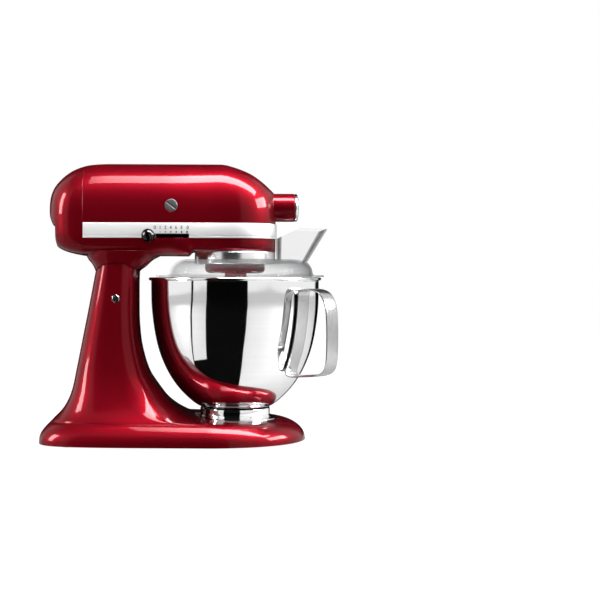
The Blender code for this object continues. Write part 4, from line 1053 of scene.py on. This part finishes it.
WALL_GLOW = 0.95
DARK_GLOW = 0.006
WALL_GLOW_SEEN = 1.0
WALL_GLOW_DIFFUSE = 0.32


def studio_world():
    """White walls with a dark opening, stripe, back and ceiling, as a studio shows in polished metal."""
    world = bpy.data.worlds.new("studio")
    bpy.context.scene.world = world
    world.use_nodes = True
    tree = world.node_tree
    background = tree.nodes["Background"]
    where = add(tree, "ShaderNodeTexCoord")
    apart = add(tree, "ShaderNodeSeparateXYZ")
    tree.links.new(where.outputs["Generated"], apart.inputs["Vector"])
    x, y, z = apart.outputs
    turn = math_node(tree, "ARCTAN2", x, math_node(tree, "MULTIPLY", y, -1.0))
    azimuth = math_node(tree, "MULTIPLY", turn, 180 / pi)
    elevation = math_node(tree, "MULTIPLY", math_node(tree, "ARCSINE", z), 180 / pi)
    level = between(tree, elevation, -80, 50, 6)
    opening = math_node(tree, "MULTIPLY", between(tree, azimuth, -40, 15, 0.8), level)
    stripe = math_node(tree, "MULTIPLY", between(tree, azimuth, -62.5, -59.5, 0.5), level)
    behind = math_node(tree, "SUBTRACT", 1.0, between(tree, azimuth, -142, 142, 8))
    above = math_node(tree, "SUBTRACT", 1.0, between(tree, elevation, -95, 52, 10))
    dark = math_node(tree, "MAXIMUM", opening, stripe)
    dark = math_node(tree, "MAXIMUM", dark, behind)
    dark = math_node(tree, "MAXIMUM", dark, math_node(tree, "MULTIPLY", above, 0.9))
    glow = map_range(tree, dark, WALL_GLOW, DARK_GLOW)
    path = add(tree, "ShaderNodeLightPath")
    plain = math_node(tree, "MAXIMUM", path.outputs["Is Camera Ray"], path.outputs["Is Transmission Ray"])
    glow = choose(tree, plain, glow, WALL_GLOW_SEEN)
    glow = choose(tree, path.outputs["Is Diffuse Ray"], glow, WALL_GLOW_DIFFUSE)
    tree.links.new(glow, background.inputs["Strength"])
    background.inputs["Color"].default_value = (1, 1, 1, 1)


def facing(place, aim):
    turn = (Vector(aim) - Vector(place)).to_track_quat("-Z", "Y")
    return Matrix.Translation(place) @ turn.to_matrix().to_4x4()


def lamp(name, kind, place, aim, **settings):
    """A soft light, which leaves the mirror-like reflections to the cards."""
    data = bpy.data.lights.new(name, kind)
    for key, value in settings.items():
        setattr(data, key, value)
    item = bpy.data.objects.new(name, data)
    item.matrix_world = facing(place, aim)
    item.visible_camera = False
    item.visible_glossy = False
    bpy.context.scene.collection.objects.link(item)


def softbox(name, place, aim, width, height, power):
    lamp(name, "AREA", place, aim, shape="RECTANGLE", size=width, size_y=height, energy=power)


def column_lamp():
    """Aimed at the upper column, but so large that its pool of light covers most of the machine."""
    lamp("column_lamp", "SPOT", (-0.15, -1.3, 0.45), (-0.1, 0, 0.152), energy=190, spot_size=radians(6.6),
         spot_blend=1.0, shadow_soft_size=0.15)


def light_card(name, place, aim, width, height, strengths, ramp):
    """A glowing card seen only in reflections. Its glow runs between two strengths along its width."""
    item = flat_card(name, width, height)
    item.matrix_world = facing(place, aim)
    made, tree, shader = shader_of(name)
    where = add(tree, "ShaderNodeTexCoord")
    apart = add(tree, "ShaderNodeSeparateXYZ")
    tree.links.new(where.outputs["Object"], apart.inputs["Vector"])
    glow = map_range(tree, apart.outputs["X"], *strengths, *ramp)
    tree.links.new(glow, shader.inputs["Emission Strength"])
    shader.inputs["Emission Color"].default_value = (1, 1, 1, 1)
    shader.inputs["Base Color"].default_value = (0, 0, 0, 1)
    item.data.materials.append(made)
    reflections_only(item)


def studio():
    camera()
    floor()
    dark_card()
    studio_world()
    softbox("top_box", (0.35, -0.49, 1.72), (0.35, 0, 0.3), 3.2, 0.6, 20)
    softbox("side_box", (-1.8, -0.5, 1.1), (-0.15, 0, 0.3), 1.2, 1.3, 18)
    column_lamp()
    light_card("strip_card", (0.80, -0.49, 1.72), (0.80, 0, 0.3), 2.3, 0.6, (14, 64), (-1.10, -0.65))
    light_card("nose_card", (1.8, -0.25, 0.92), (0.05, 0, 0.3), 1.1, 0.5, (44, 44), (-1, 1))
    light_card("rear_card", (-1.8, -0.45, 0.95), (-0.15, 0, 0.3), 0.5, 1.1, (36, 36), (-1, 1))
    bpy.context.scene.view_settings.view_transform = "Standard"


# ---------------------------------------------------------------- assembly


dress_frame_nodes()
base_casting()
clamp_plate()
hinge_pin()
lock_lever()
gearcase()
motor_housing()
rear_cover()
trim_band()
dial_marks()
brush_caps()
drip_ring()
planetary_hub()
speed_knob()
attachment_knob()
hub_cap()
bowl()
bowl_foot()
bowl_handle()
pouring_shield()
studio()
